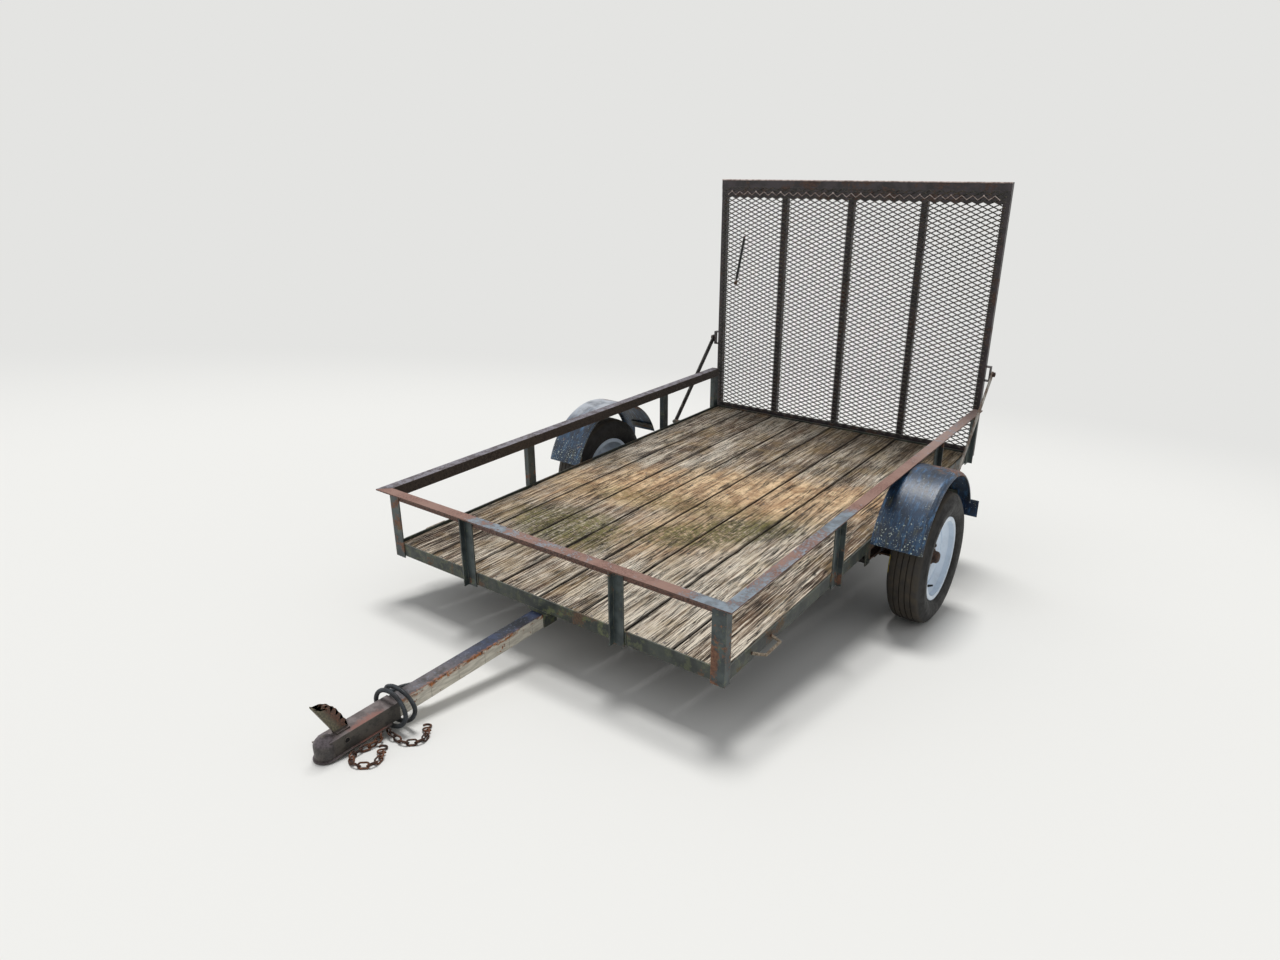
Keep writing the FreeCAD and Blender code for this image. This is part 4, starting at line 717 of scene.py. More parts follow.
def grown(name, geometry, given, base, slot, **sizes):
    """Ends a tree in real instances with their material, and takes the mesh that it makes from a base."""
    tree = geometry.tree
    real = node(tree, "GeometryNodeRealizeInstances", {0: geometry})
    dressed = node(tree, "GeometryNodeSetMaterial", {0: real, "Material": given.material})
    join(dressed, tree.nodes.new("NodeGroupOutput").inputs[0])

    def grow(holder):
        modifier = holder.modifiers.new("Grow", "NODES")
        modifier.node_group = tree
        for key, value in {**sizes, "material": finish(slot)}.items():
            modifier[tree.interface.items_tree[key].identifier] = value

    mesh = evaluated(name + "_base", base, grow)
    mesh.name = name
    return mesh


def base_mesh(name, points, edges=()):
    """A mesh of points and edges alone."""
    base = bpy.data.meshes.new(name)
    base.from_pydata([tuple(point) for point in points], edges, [])
    return base


class TrailerSettings(bpy.types.PropertyGroup):
    """Sizes and colours that a user may change."""

    mesh_long: bpy.props.FloatProperty(
        name="Diamond length", description="Length of a diamond of the gate's sheet, centre to centre",
        default=0.0508, min=0.02, unit="LENGTH")
    mesh_short: bpy.props.FloatProperty(
        name="Diamond height", description="Height of a diamond of the gate's sheet, centre to centre",
        default=0.0234, min=0.01, unit="LENGTH")
    strand_width: bpy.props.FloatProperty(
        name="Strand width", description="Width of a strand of the gate's sheet", default=0.005, min=0.001,
        unit="LENGTH")
    tread_ribs: bpy.props.IntProperty(
        name="Tread ribs", description="Ribs round each tyre", default=5, min=3, max=7)
    loom_diameter: bpy.props.FloatProperty(
        name="Loom diameter", description="Outside diameter of the wiring lead's loom tube", default=0.014,
        min=0.006, unit="LENGTH")
    floor_colour: bpy.props.FloatVectorProperty(
        name="Floor", description="Colour of the studio floor", subtype="COLOR", size=3,
        default=colour("#E2E1DD")[:3], min=0.0, max=1.0)


# Wiring lead on the level trailer, in millimetres: bends of its near end and of its way out of the coil
LEAD_START = [(-36.4, -499.05, -38.4), (-48.4, -519.8, -38.4), (-59.5, -553.0, -33.0), (-59.5, -585.0, -33.0)]
LEAD_LEAVES = [(-41.0, -655.0, -75.3), (-41.0, -685.0, -75.3)]
COIL_CENTRE = (6.0, -31.8)
COIL_REACH = (65.0, 58.0)
# Degrees between two points of the coil
COIL_STEP = 360.0 / 14
# Place of the turns along the tongue: degrees wound, place
COIL_PLACES = [(-180, -592), (-140, -612), (-90, -610), (0, -597), (60, -606), (90, -612), (150, -634),
               (180, -640), (270, -634), (360, -632), (450, -642), (494, -648)]
# Its tail: across, place; and how high over the floor its middle lies
LEAD_TAIL = [(-46.0, -717.0), (-54.0, -749.0), (-63.0, -781.0), (-69.0, -813.0)]
LEAD_LYING = 7.4
# Its loom in metres: pitch of the ribs, and depth of the grooves between them
LOOM_RIB = 0.0042
LOOM_GROOVE = 0.0011
STEPS_PER_RIB = 4
# Moulded strain relief from the tongue to the loom: share of its length, radius in millimetres
RELIEF_ENDS = [(-18.0, -466.6, -38.4), (-37.0, -500.1, -38.4)]
RELIEF_STEPS = [(0.0, 12.5), (0.16, 12.5), (0.2, 10.8), (0.36, 10.6), (0.38, 9.3), (0.46, 9.3), (0.48, 10.0),
                (0.62, 9.8), (0.64, 8.6), (0.72, 8.6), (0.74, 9.2), (0.88, 9.0), (0.9, 8.0), (1.0, 7.9)]
# Flat four-pin plug: place past the loom's end, half width and half thickness in millimetres
PLUG_STEPS = [(-3.0, 7.5, 6.4), (1.0, 7.8, 6.4), (7.0, 12.4, 5.8), (9.0, 12.4, 5.8), (10.0, 11.6, 5.2),
              (12.0, 11.6, 5.2), (13.0, 12.4, 5.8), (15.0, 12.4, 5.8), (16.0, 11.6, 5.2), (18.0, 11.6, 5.2),
              (19.0, 12.4, 5.8), (23.0, 12.0, 5.5)]
PLUG_CORNERS = [(1, 0.35), (1, -0.35), (0.75, -1), (-0.75, -1), (-1, -0.35), (-1, 0.35), (-0.75, 1), (0.75, 1)]
# Its pins: place across, radius, and all start and end at the same places past the loom's end
PLUG_PINS = [(-9.0, 2.9), (-3.0, 1.9), (3.0, 1.9), (9.0, 1.9)]
PIN_RUN = (22.0, 32.5)


def coil_points():
    """Points of the lead's turns round the tongue."""
    points = []
    wound = -180.0 + COIL_STEP
    while wound < COIL_PLACES[-1][0] - COIL_STEP / 2:
        for (angle, here), (next_angle, there) in zip(COIL_PLACES, COIL_PLACES[1:]):
            if angle <= wound <= next_angle:
                place = here + (there - here) * (wound - angle) / (next_angle - angle)
        turn = math.radians(-wound)
        x, z = (centre + reach * share for centre, reach, share in zip(
            COIL_CENTRE, COIL_REACH, (math.cos(turn), math.sin(turn))))
        points.append(parked(x, place, z))
        wound += COIL_STEP
    return points


def smooth_line(name, points):
    """Close points along a smooth curve that starts and ends at the ends of points."""
    curve = bpy.data.curves.new(name, "CURVE")
    curve.dimensions = "3D"
    curve.resolution_u = 16
    spline = curve.splines.new("NURBS")
    spline.points.add(len(points) - 1)
    for slot, point in zip(spline.points, points):
        slot.co = (*point, 1.0)
    spline.order_u = 3
    spline.use_endpoint_u = True
    return [vertex.co.copy() for vertex in evaluated(name, curve).vertices]


def even_steps(path, step):
    """Points at equal distances of about a step along a path."""
    runs = [(b - a).length for a, b in zip(path, path[1:])]
    count = int(sum(runs) / step)
    share = sum(runs) / count
    points, walked, index = [], 0.0, 0
    for number in range(count + 1):
        wanted = number * share
        while index < len(runs) - 1 and walked + runs[index] < wanted:
            walked += runs[index]
            index += 1
        points.append(path[index].lerp(path[index + 1], min(1.0, (wanted - walked) / runs[index])))
    return points


class TRAILER_OT_wiring_lead(bpy.types.Operator):
    """Make the corrugated wiring lead: two turns round the tongue and a tail with its plug"""

    bl_idname = "trailer.wiring_lead"
    bl_label = "Wiring lead"

    def execute(self, context):
        tail = [on_floor(x, place, LEAD_LYING) for x, place in LEAD_TAIL]
        points = [parked(*point) for point in LEAD_START] + coil_points()
        points += [parked(*point) for point in LEAD_LEAVES] + tail
        path = smooth_line("wiring_lead_line", points)
        radius = context.scene.trailer.loom_diameter / 2
        line = even_steps(path, LOOM_RIB / STEPS_PER_RIB)
        radii = [radius - (LOOM_GROOVE if number % STEPS_PER_RIB >= STEPS_PER_RIB / 2 else 0.0)
                 for number in range(len(line))]
        lead = new_piece("wiring_lead", round_wire(line, radii, 14, across=UPWARD, reach=3), "harness_loom",
                         nodes=("harness_lead", "harness_coil", "harness_tail"))

        root, end = (parked(*point) for point in RELIEF_ENDS)
        relief = round_wire([root.lerp(end, share) for share, reach in RELIEF_STEPS],
                            [reach / 1000 for share, reach in RELIEF_STEPS], 20,
                            across=(end - root).cross(UPWARD).normalized())
        relief = new_piece("lead_strain_relief", relief, "plug_plastic", nodes=("harness_grommet",))

        before, tip = tail[-2:]
        onward = (tip - before).normalized()
        aside = UPWARD.cross(onward).normalized()
        rise = onward.cross(aside)

        def at(ahead, across, up=0.0):
            """A point past the loom's end, in millimetres."""
            return tip + (onward * ahead + aside * across + rise * up) / 1000

        shell = bmesh.new()
        skin(shell, [[shell.verts.new(at(ahead, a * half_width, b * half_thick)) for a, b in PLUG_CORNERS]
                     for ahead, half_width, half_thick in PLUG_STEPS])
        plug = new_piece("flat_four_pin_plug", shell, "plug_plastic", nodes=("harness_plug",))
        prongs = bmesh.new()
        for across, reach in PLUG_PINS:
            absorb(prongs, round_wire([at(ahead, across) for ahead in PIN_RUN], reach / 1000, 12))
        prongs = new_piece("plug_prongs", prongs, "zinc_screw")
        return {"FINISHED"}


class TRAILER_OT_finishes(bpy.types.Operator):
    """Give every carried-over node the finish of its material slot"""

    bl_idname = "trailer.finishes"
    bl_label = "Finishes"

    def execute(self, context):
        slots = {part["node"]: part["material_slot"] for part in frame["record"]["subparts"]}
        for name, piece in frame["nodes"].items():
            for material_slot in piece.material_slots:
                material_slot.material = finish(slots[name])
        return {"FINISHED"}


# Gate's sheet: its strands' roll in degrees, and how far behind the gate's face the sheet, the faces of its
# selvedge and its cut edge lie, in millimetres
STRAND_ROLL = 38.0
SHEET_BEHIND = 2.2
SELVEDGE_BEHIND = (0.1, 1.5)
CUT_EDGE_BEHIND = 5.4
# Heights of the cut edge's peaks and feet and of the top bar's upper corner, and the radii of their pale lines,
# which are rubbed steel and painted highlight
CUT_EDGE = (1304.0, 1285.0)
BAR_CORNER = 1363.4
CUT_EDGE_LINE = 0.0021
BAR_CORNER_LINE = 0.003
# Radius of the pale spots on the cut edge's peaks: painted glints
PAINTED_GLINT_RADIUS = 0.0048
# The hanging rod: its ends' places across from the gate's right side, and heights; its sleeve's radius and
# the shares of its length that the sleeve runs between
ROD_ENDS = [(165.0, 1062.0), (119.0, 808.0)]
ROD_BEHIND = 12.1
SLEEVE_RADIUS = 0.0074
SLEEVE_SHARES = (0.04, 0.94)


def sheet_mesh(sizes, columns, rows):
    """The expanded sheet about its middle: pairs of leaning strands on a grid, and the pairs mirrored."""
    tree, given = new_tree("Expanded sheet", diamond_length=0.0508, diamond_height=0.0234, strand_width=0.005,
                           strand_thickness=0.0026, columns=30, rows=54)
    length, height, width = given.diamond_length, given.diamond_height, given.strand_width
    half_length, half_height = length * 0.5, height * 0.5
    lean = height.math("ARCTAN2", length)
    size = node(tree, "ShaderNodeCombineXYZ", {
        0: distance(half_length, half_height) + width, 1: given.strand_thickness, 2: width})
    strands = []
    for sign in (1.0, -1.0):
        bar = node(tree, "GeometryNodeMeshCube", {"Size": size})
        rolled = node(tree, "GeometryNodeTransform", {
            0: bar, "Rotation": (math.radians(STRAND_ROLL * sign), 0.0, 0.0)})
        turn = node(tree, "ShaderNodeCombineXYZ", {1: lean * -sign})
        shift = node(tree, "ShaderNodeCombineXYZ", {0: half_length * 0.5, 2: half_height * (sign * 0.5)})
        strands.append(node(tree, "GeometryNodeTransform", {0: rolled, "Rotation": turn, "Translation": shift}))
    unit = node(tree, "GeometryNodeJoinGeometry", {0: strands})
    grid = node(tree, "GeometryNodeMeshGrid", {
        "Size X": (given.columns + -1.0) * length, "Size Y": (given.rows + -1.0) * height,
        "Vertices X": given.columns, "Vertices Y": given.rows})
    upright = node(tree, "GeometryNodeTransform", {0: grid, "Rotation": (math.radians(90.0), 0.0, 0.0)})
    mirror = node(tree, "GeometryNodeTransform", {0: unit, "Rotation": (0.0, 0.0, math.pi)})
    whole = node(tree, "GeometryNodeJoinGeometry", {0: [
        node(tree, "GeometryNodeInstanceOnPoints", {0: upright, "Instance": part}) for part in (unit, mirror)]})
    return grown("gate_sheet", whole, given, base_mesh("gate_sheet_base", []), "gate_mesh_steel",
                 diamond_length=sizes.mesh_long, diamond_height=sizes.mesh_short,
                 strand_width=sizes.strand_width, columns=columns, rows=rows)


class TRAILER_OT_gate_sheet(bpy.types.Operator):
    """Grow the gate's expanded-metal sheet strand by strand"""

    bl_idname = "trailer.gate_sheet"
    bl_label = "Gate sheet"

    def execute(self, context):
        sizes = context.scene.trailer
        pitch, row = sizes.mesh_long * 1000, sizes.mesh_short * 1000
        columns = int((2 * GATE_HALF - 12.0) / pitch)
        rows = int((GATE_HIGH - GATE_LOW) / row)
        middle = (GATE_LOW + GATE_HIGH) / 2
        mesh = sheet_mesh(sizes, columns, rows)
        mesh.transform(PARK @ Matrix.Translation((0.0, (GATE_FACE - SHEET_BEHIND) / 1000, middle / 1000)))
        new_piece("gate_sheet", mesh, "gate_mesh_steel", "ramp_gate", ("gate_mesh",))

        # Two solid rows under the top bar, a pale cut edge over them and the bar's upper edge, both pale lines of
        # rubbed steel and painted highlight, with painted glints on the peaks
        low = middle + (rows - 1) * row / 2 - 2 * row
        places = [(index - columns + 1) * pitch / 2 for index in range(2 * columns - 1)]
        edge = [(x, low + (row / 2 if index % 2 else 0.0)) for index, x in enumerate(places)]
        edge = [(-GATE_HALF + 2.0, low + row / 4), *edge, (GATE_HALF - 2.0, low + row / 4)]
        front, back = (GATE_FACE - behind for behind in SELVEDGE_BEHIND)
        high = GATE_HIGH + 3.0
        strip = bmesh.new()
        skin(strip, [[strip.verts.new(parked(x, *corner)) for corner in
                      ((front, high), (front, z), (back, z), (back, high))] for x, z in edge])
        new_piece("gate_sheet_selvedge", strip, "gate_paint", "ramp_gate")
        face = GATE_FACE - CUT_EDGE_BEHIND
        teeth = [parked(x, face, CUT_EDGE[1 - index % 2]) for index, x in enumerate(places)]
        bright = round_wire(teeth, CUT_EDGE_LINE, 6)
        ends = [parked(x, GATE_FACE + 0.2, BAR_CORNER) for x in (-GATE_HALF, GATE_HALF)]
        absorb(bright, round_wire(ends, BAR_CORNER_LINE, 8))
        # Painted glints on every sixth peak
        for x in places[1::6]:
            spot = bmesh.new()
            at = Matrix.Translation(parked(x, face + 1.5, CUT_EDGE[0]))
            bmesh.ops.create_icosphere(spot, subdivisions=2, radius=PAINTED_GLINT_RADIUS, matrix=at)
            absorb(bright, spot)
        new_piece("gate_selvedge_edge", bright, "cut_edge_wear_and_highlight", "ramp_gate")
        top, foot = (parked(x - GATE_HALF, GATE_FACE - ROD_BEHIND, z) for x, z in ROD_ENDS)
        sleeve = round_wire([top.lerp(foot, share) for share in SLEEVE_SHARES], SLEEVE_RADIUS, 12)
        new_piece("hanging_rod_sleeve", sleeve, "plug_plastic", "ramp_gate")
        return {"FINISHED"}


# Tyre, in millimetres: half the tread's width, a groove, its depth under the crown's radius, how far the
# tread falls towards its shoulder, and the shoulder's own radius
HALF_TREAD = 56.0
GROOVE = 4.4
GROOVE_RADIUS = 281.0
CROWN_RADIUS = 287.2
CROWN_DROP = 3.0
SHOULDER_RADIUS = 283.2
# One sidewall from bead to shoulder, and the inside from bead to bead: offset, radius
SIDEWALL = [(58.4, 166.8), (58.6, 183.0), (63.0, 189.0), (66.5, 190.5), (68.5, 194.0), (70.5, 196.0),
            (71.2, 200.5), (72.6, 201.0), (75.6, 209.0), (78.0, 219.0), (79.2, 228.0), (79.6, 236.0),
            (79.1, 243.5), (78.2, 244.2), (77.6, 248.6), (76.4, 249.4), (73.4, 257.0), (69.6, 264.0),
            (68.2, 265.6), (66.8, 270.2), (63.4, 275.4), (60.4, 279.2)]
TYRE_INSIDE = [(-44.0, 166.8), (-64.0, 242.0), (-48.0, 272.0), (48.0, 272.0), (64.0, 242.0), (44.0, 166.8)]
# Valve stem: radii of its foot and tip, its length, its place from the wheel's middle and its lean in degrees
STEM_RADII = (0.0062, 0.0038)
STEM_LENGTH = 0.026
STEM_PLACE = (0.036, 0.0, -0.131)
STEM_LEAN = 68.0


def tread(ribs):
    """Crown of the tyre from its left shoulder to its right one: offset, radius."""
    rib = (2 * HALF_TREAD - (ribs - 1) * GROOVE) / ribs
    crown = []
    outer = HALF_TREAD
    for index in range(ribs):
        inner = outer - rib
        crown += [(x, CROWN_RADIUS - CROWN_DROP * (x / HALF_TREAD) ** 2) for x in (outer, inner)]
        outer = inner - GROOVE
        if index < ribs - 1:
            crown += [(inner - 0.5, GROOVE_RADIUS), (outer + 0.5, GROOVE_RADIUS)]
    crown[0] = (HALF_TREAD, SHOULDER_RADIUS)
    crown[-1] = (-HALF_TREAD, SHOULDER_RADIUS)
    return crown


class TRAILER_OT_tyres(bpy.types.Operator):
    """Turn both tyres with their straight tread ribs and moulded sidewall rings"""

    bl_idname = "trailer.tyres"
    bl_label = "Tyres"

    def execute(self, context):
        far_wall = [(-x, r) for x, r in reversed(SIDEWALL)]
        profile = SIDEWALL + tread(context.scene.trailer.tread_ribs) + far_wall + TYRE_INSIDE
        for name, sign in SIDES:
            centre = Vector((sign * WHEEL_PLACE / 1000, WHEEL_CENTRE.y, WHEEL_CENTRE.z))
            tyre = bmesh.new()
            skin(tyre, [[tyre.verts.new(centre + Vector((x, r * math.cos(turn), r * math.sin(turn))) / 1000)
                         for x, r in profile] for turn in turns(112)], closed=True)
            new_piece("ribbed_tyre_" + name, tyre, "tyre_rubber", "wheel_" + name, ("tyre_" + name,), smooth=38.0)
            stem = bmesh.new()
            foot, tip = STEM_RADII
            bmesh.ops.create_cone(stem, segments=14, radius1=foot, radius2=tip, depth=STEM_LENGTH, cap_ends=True)
            x, y, z = STEM_PLACE
            place = Matrix.Translation(centre + Vector((sign * x, y, z)))
            stem.transform(place @ Matrix.Rotation(math.radians(sign * STEM_LEAN), 4, "Y"))
            new_piece("valve_stem_" + name, stem, "plug_plastic", "wheel_" + name)
        return {"FINISHED"}


# Screws: places along the bed, shares of a board's width, and how far each row is off its place
SCREW_PLACES = (26.0, 609.5, 1219.0, 1828.5, BED_LENGTH - 26.0)
SCREW_ROWS = ((0.22, -4.0), (0.78, 5.0))


class TRAILER_OT_deck_screws(bpy.types.Operator):
    """Set a pair of screw heads in every plank over each cross angle"""

    bl_idname = "trailer.deck_screws"
    bl_label = "Deck screws"

    def execute(self, context):
        tree, given = new_tree("Deck screws", head_radius=0.0052, sink=0.0006)
        head = node(tree, "GeometryNodeMeshCylinder", {
            "Vertices": 12, "Radius": given.head_radius, "Depth": 0.0024})
        shift = node(tree, "ShaderNodeCombineXYZ", {2: given.sink * -1.0})
        lowered = node(tree, "GeometryNodeTransform", {0: head, "Translation": shift})
        laid = node(tree, "GeometryNodeInstanceOnPoints", {0: given.points, "Instance": lowered})
        spots = []
        for board in range(BOARDS):
            low = -HALF_BED + ANGLE_WALL + BOARD_GAP + board * BOARD_PITCH
            for place in SCREW_PLACES:
                for share, off in SCREW_ROWS:
                    across = low + (BOARD_PITCH - BOARD_GAP) * share
                    spots.append(Vector((across, place + off, BOARD_TOP)) / 1000)
        mesh = grown("deck_screws", laid, given, base_mesh("screw_places", spots), "zinc_screw")
        mesh.transform(PARK)
        new_piece("deck_screws", mesh, "zinc_screw")
        return {"FINISHED"}


# Safety chains, as they lie: each bolt's place and, for each link, the way it points in degrees from the
# trailer's left towards its rear, its height over a link at rest in millimetres and its roll in degrees
CHAINS = [
    (-690.0, [(0, 7.9, 0), (-35, 7.2, -85), (-65, 4.6, 8), (-92, 2.2, -75), (-104, 0.2, 40), (-84, 0, -45),
              (-60, 0, 45), (-25, 0, -45), (10, 0, 45), (45, 0, -45), (82, 0, 45), (112, 0, -45), (138, 0, 45)]),
    (-666.0, [(0, 11.3, 0), (-16, 10.2, -85), (-4, 6.9, 8), (4, 3.6, -75), (22, 0.6, 38), (50, 0, -45),
              (82, 0, 45), (115, 0, -45), (140, 0, 45)]),
]
CHAIN_START = 8.6
CHAIN_PITCH = 22.85
CHAIN_REST = 8.67
# Heights that each bolt's shank runs between, and the shank's and the head's radii in metres
BOLT_RUN = (-63.8, -81.3)
BOLT_SHANK = 0.003
BOLT_HEAD = 0.008
# S-hook: reach of each half and radius of its wire in metres, and how far it runs from the last link
HOOK_BEND = 0.012
HOOK_WIRE = 0.0028
HOOK_STARTS = 0.0082
HOOK_RUN = 0.048
HOOK_FALL = (CHAIN_REST - 2.9) / 1000


def chain_places(bolt_place, rows):
    """Middle, way along and way across of each link of a chain, parked."""
    x, place = CHAIN_START, bolt_place - FLOOR_UP.y * (CHAIN_REST + rows[0][1])
    links = []
    before = rows[0][0]
    for heading, lift, roll in rows:
        if links:
            way = math.radians((heading + before) / 2)
            x += CHAIN_PITCH * math.cos(way)
            place += CHAIN_PITCH * math.sin(way)
        before = heading
        way = math.radians(heading)
        along = Vector((math.cos(way), math.sin(way), 0.0))
        along = PARK.to_3x3() @ (along - FLOOR_UP * along.dot(FLOOR_UP)).normalized()
        level = along.cross(UPWARD).normalized()
        tilt = math.radians(roll)
        side = level * math.cos(tilt) + level.cross(along) * math.sin(tilt)
        links.append((on_floor(x, place, CHAIN_REST + lift), along, side))
    return links


def hook(middle, along):
    """The S-hook that hangs in a chain's last link."""
    near = middle + along * HOOK_STARTS
    onward = (along * HOOK_RUN - UPWARD * HOOK_FALL).normalized()
    left = (UPWARD - onward * onward.z).normalized().cross(onward)
    line = []
    for centre, start, back in ((1, 0, True), (3, 180, False)):
        for step in range(0, 250, 10):
            angle = math.radians(start + (240 - step if back else step))
            line.append(near + onward * (HOOK_BEND * (centre + math.cos(angle)))
                        + left * (HOOK_BEND * math.sin(angle)))
    line.pop(25)
    return round_wire(line, HOOK_WIRE, 12)


class TRAILER_OT_safety_chain(bpy.types.Operator):
    """Lay both safety chains' links from their bolts under the tongue, with a hook in each last one"""

    bl_idname = "trailer.safety_chain"
    bl_label = "Safety chain"

    def execute(self, context):
        tree, given = new_tree("Chain links", inside_length=0.0241, inside_width=0.0104, wire=0.0055)
        bend = (given.inside_width + given.wire) * 0.5
        half_slack = (given.inside_length - given.inside_width) * 0.5
        circle = node(tree, "GeometryNodeCurvePrimitiveCircle", {"Resolution": 20, "Radius": bend})
        end = node(tree, "GeometryNodeInputPosition").parts()[0].math("SIGN")
        offset = node(tree, "ShaderNodeCombineXYZ", {0: end * half_slack})
        oval = node(tree, "GeometryNodeSetPosition", {"Geometry": circle, "Offset": offset})
        section = node(tree, "GeometryNodeCurvePrimitiveCircle", {"Resolution": 10, "Radius": given.wire * 0.5})
        link = node(tree, "GeometryNodeCurveToMesh", {"Curve": oval, "Profile Curve": section})
        turn = node(tree, "GeometryNodeInputNamedAttribute", {"Name": "turn"}, data_type="FLOAT_VECTOR")
        laid = node(tree, "GeometryNodeInstanceOnPoints", {0: given.points, "Instance": link, "Rotation": turn})

        chains = [(bolt, chain_places(bolt, rows)) for bolt, rows in CHAINS]
        links = [link_place for bolt, places in chains for link_place in places]
        base = base_mesh("link_places", [middle for middle, along, side in links])
        attribute = base.attributes.new("turn", "FLOAT_VECTOR", "POINT")
        for item, (middle, along, side) in zip(attribute.data, links):
            item.vector = Matrix((along, side, along.cross(side))).transposed().to_euler("XYZ")
        whole = bmesh.new()
        whole.from_mesh(grown("chain_links", laid, given, base, "rusty_steel"))
        for bolt, places in chains:
            top, end = (parked(0.0, bolt, height) for height in BOLT_RUN)
            way = (end - top).normalized()
            absorb(whole, round_wire([top - way * 0.002, end], BOLT_SHANK, 14))
            absorb(whole, round_wire([end, end + way * 0.005], BOLT_HEAD, 6))
            absorb(whole, hook(*places[-1][:2]))
        new_piece("safety_chain_links", whole, "rusty_steel", nodes=("safety_chains",), smooth=40.0)
        return {"FINISHED"}


# Fender's wired edge: place across, its distance from the fender's centre and its roll's radius
WIRED_EDGE = (966.6, 330.4, 0.0034)


class TRAILER_OT_fender_trim(bpy.types.Operator):
    """Roll the wired edge along the outer rim of both fenders"""

    bl_idname = "trailer.fender_trim"
    bl_label = "Fender trim"

    def execute(self, context):
        across, reach, radius = WIRED_EDGE
        for name, sign in SIDES:
            line = arc(sign * across, AXLE_PLACE, FENDER_CENTRE, reach, map(math.radians, range(21, 163, 3)))
            new_piece("fender_wired_edge_" + name, round_wire(line, radius, 10), "fender_paint", smooth=180.0)
        return {"FINISHED"}


# Latch cheek's outline in the level trailer: place, height in millimetres; the rear edge is torn into teeth
LATCH_CHEEK = [(-818.0, -9.0), (-873.0, 104.0), (-871.0, 107.5), (-852.0, 88.0), (-845.0, 100.0), (-838.0, 97.0),
               (-836.0, 78.0), (-829.0, 92.0), (-823.0, 88.0), (-824.0, 66.0), (-814.0, 76.0), (-806.0, 70.0),
               (-811.0, 48.0), (-800.0, 54.0), (-794.0, 46.0), (-802.0, 28.0), (-789.0, 30.0), (-783.0, 22.0),
               (-789.0, 10.0), (-779.0, -2.0), (-778.0, -9.0)]
# The latch's plates: outline, and the places across that each lies between
LATCH_PLATES = [
    (LATCH_CHEEK, 5.4, 8.0),
    (LATCH_CHEEK, -8.0, -5.4),
    ([(-818.0, -8.9), (-871.8, 103.8), (-869.2, 105.4), (-815.0, -8.9)], -5.5, 5.5),
    ([(-818.0, -9.7), (-818.0, -5.0), (-776.0, -5.0), (-776.0, -9.7)], -13.0, 13.0),
]
# Its pin and roller: half length, radius; and where both lie
LATCH_ROLLERS = [(16.0, 3.6), (5.3, 7.0)]
ROLLER_LINE = (-834.0, 86.0)
# Hole in each side of the coupler, drawn as a black disc of painted shade: its middle, its radius, its raised
# rim's and the radius of the rim's wire
HOLE_LINE = (-800.0, -31.0)
HOLE_RADIUS = 7.2
HOLE_RIM = 8.4
RIM_WIRE = 0.0012


class TRAILER_OT_coupler_latch(bpy.types.Operator):
    """Bend the coupler's raised latch from torn cheeks and a web, with its roller, and set a black disc of
    painted shade in each side hole
    """

    bl_idname = "trailer.coupler_latch"
    bl_label = "Coupler latch"

    def execute(self, context):
        latch = bmesh.new()
        # The corners and faces of a torn outline keep this order, because its triangles depend on it
        for outline, low, high in LATCH_PLATES:
            here, there = ([latch.verts.new(parked(x, *corner)) for corner in outline] for x in (low, high))
            latch.faces.new(here)
            latch.faces.new(there[::-1])
            for corner in range(len(outline)):
                latch.faces.new((here[corner - 1], there[corner - 1], there[corner], here[corner]))
        bmesh.ops.triangulate(latch, faces=latch.faces)
        for reach, radius in LATCH_ROLLERS:
            ends = [parked(x, *ROLLER_LINE) for x in (-reach, reach)]
            absorb(latch, round_wire(ends, radius / 1000, 16))
        new_piece("coupler_latch_torn", latch, "rusty_steel", nodes=("coupler_latch",))
        place, height = HOLE_LINE
        for name, sign in SIDES:
            x = sign * (HALF_TONGUE + COUPLER_WALL)
            ends = [parked(x + sign * out, place, height) for out in (-0.4, 0.25)]
            # A black disc in the hole: painted shade
            new_piece("coupler_hole_" + name, round_wire(ends, HOLE_RADIUS / 1000, 20), "dark_hole")
            rim = round_wire(arc(x + sign * 0.3, place, height, HOLE_RIM, turns(28)), RIM_WIRE, 8, closed=True)
            new_piece("coupler_rim_" + name, rim, "rusty_steel", smooth=180.0)
        return {"FINISHED"}


# Weld beads: places of the front's posts, shares of the bed's length of the side posts, and how far a bead
# stands off the walls it joins
FRONT_POSTS = (-348.0, 342.0)
SIDE_POSTS = {1: (0.3142, 0.7696), -1: (0.3192, 0.7754)}
BEAD_OFF = 0.6


def weld_seams():
    """Ends of each weld on the level trailer: under the top rail, beside each post's foot, by the tongue."""
    seams = []
    underside = RAIL_TOP - ANGLE_WALL - BEAD_OFF
    for x in FRONT_POSTS:
        seams.append(((x + 1, -5.4, underside), (x + 49, -5.4, underside)))
        seams.append(((x + 50.6, -1.0, 10.0), (x + 50.6, -1.0, 46.0)))
    for sign, shares in SIDE_POSTS.items():
        for share in shares:
            place = share * (BED_LENGTH - ANGLE_WIDTH)
            face, foot = sign * (HALF_BED + 5.4), sign * (HALF_BED + 1.0)
            seams.append(((face, place + 1, underside), (face, place + 49, underside)))
            seams.append(((foot, place - BEAD_OFF, 8.0), (foot, place - BEAD_OFF, 46.0)))
    return seams + [((x, 6.0, -13.4), (x, 180.0, -13.4)) for x in (-27.0, 27.0)]


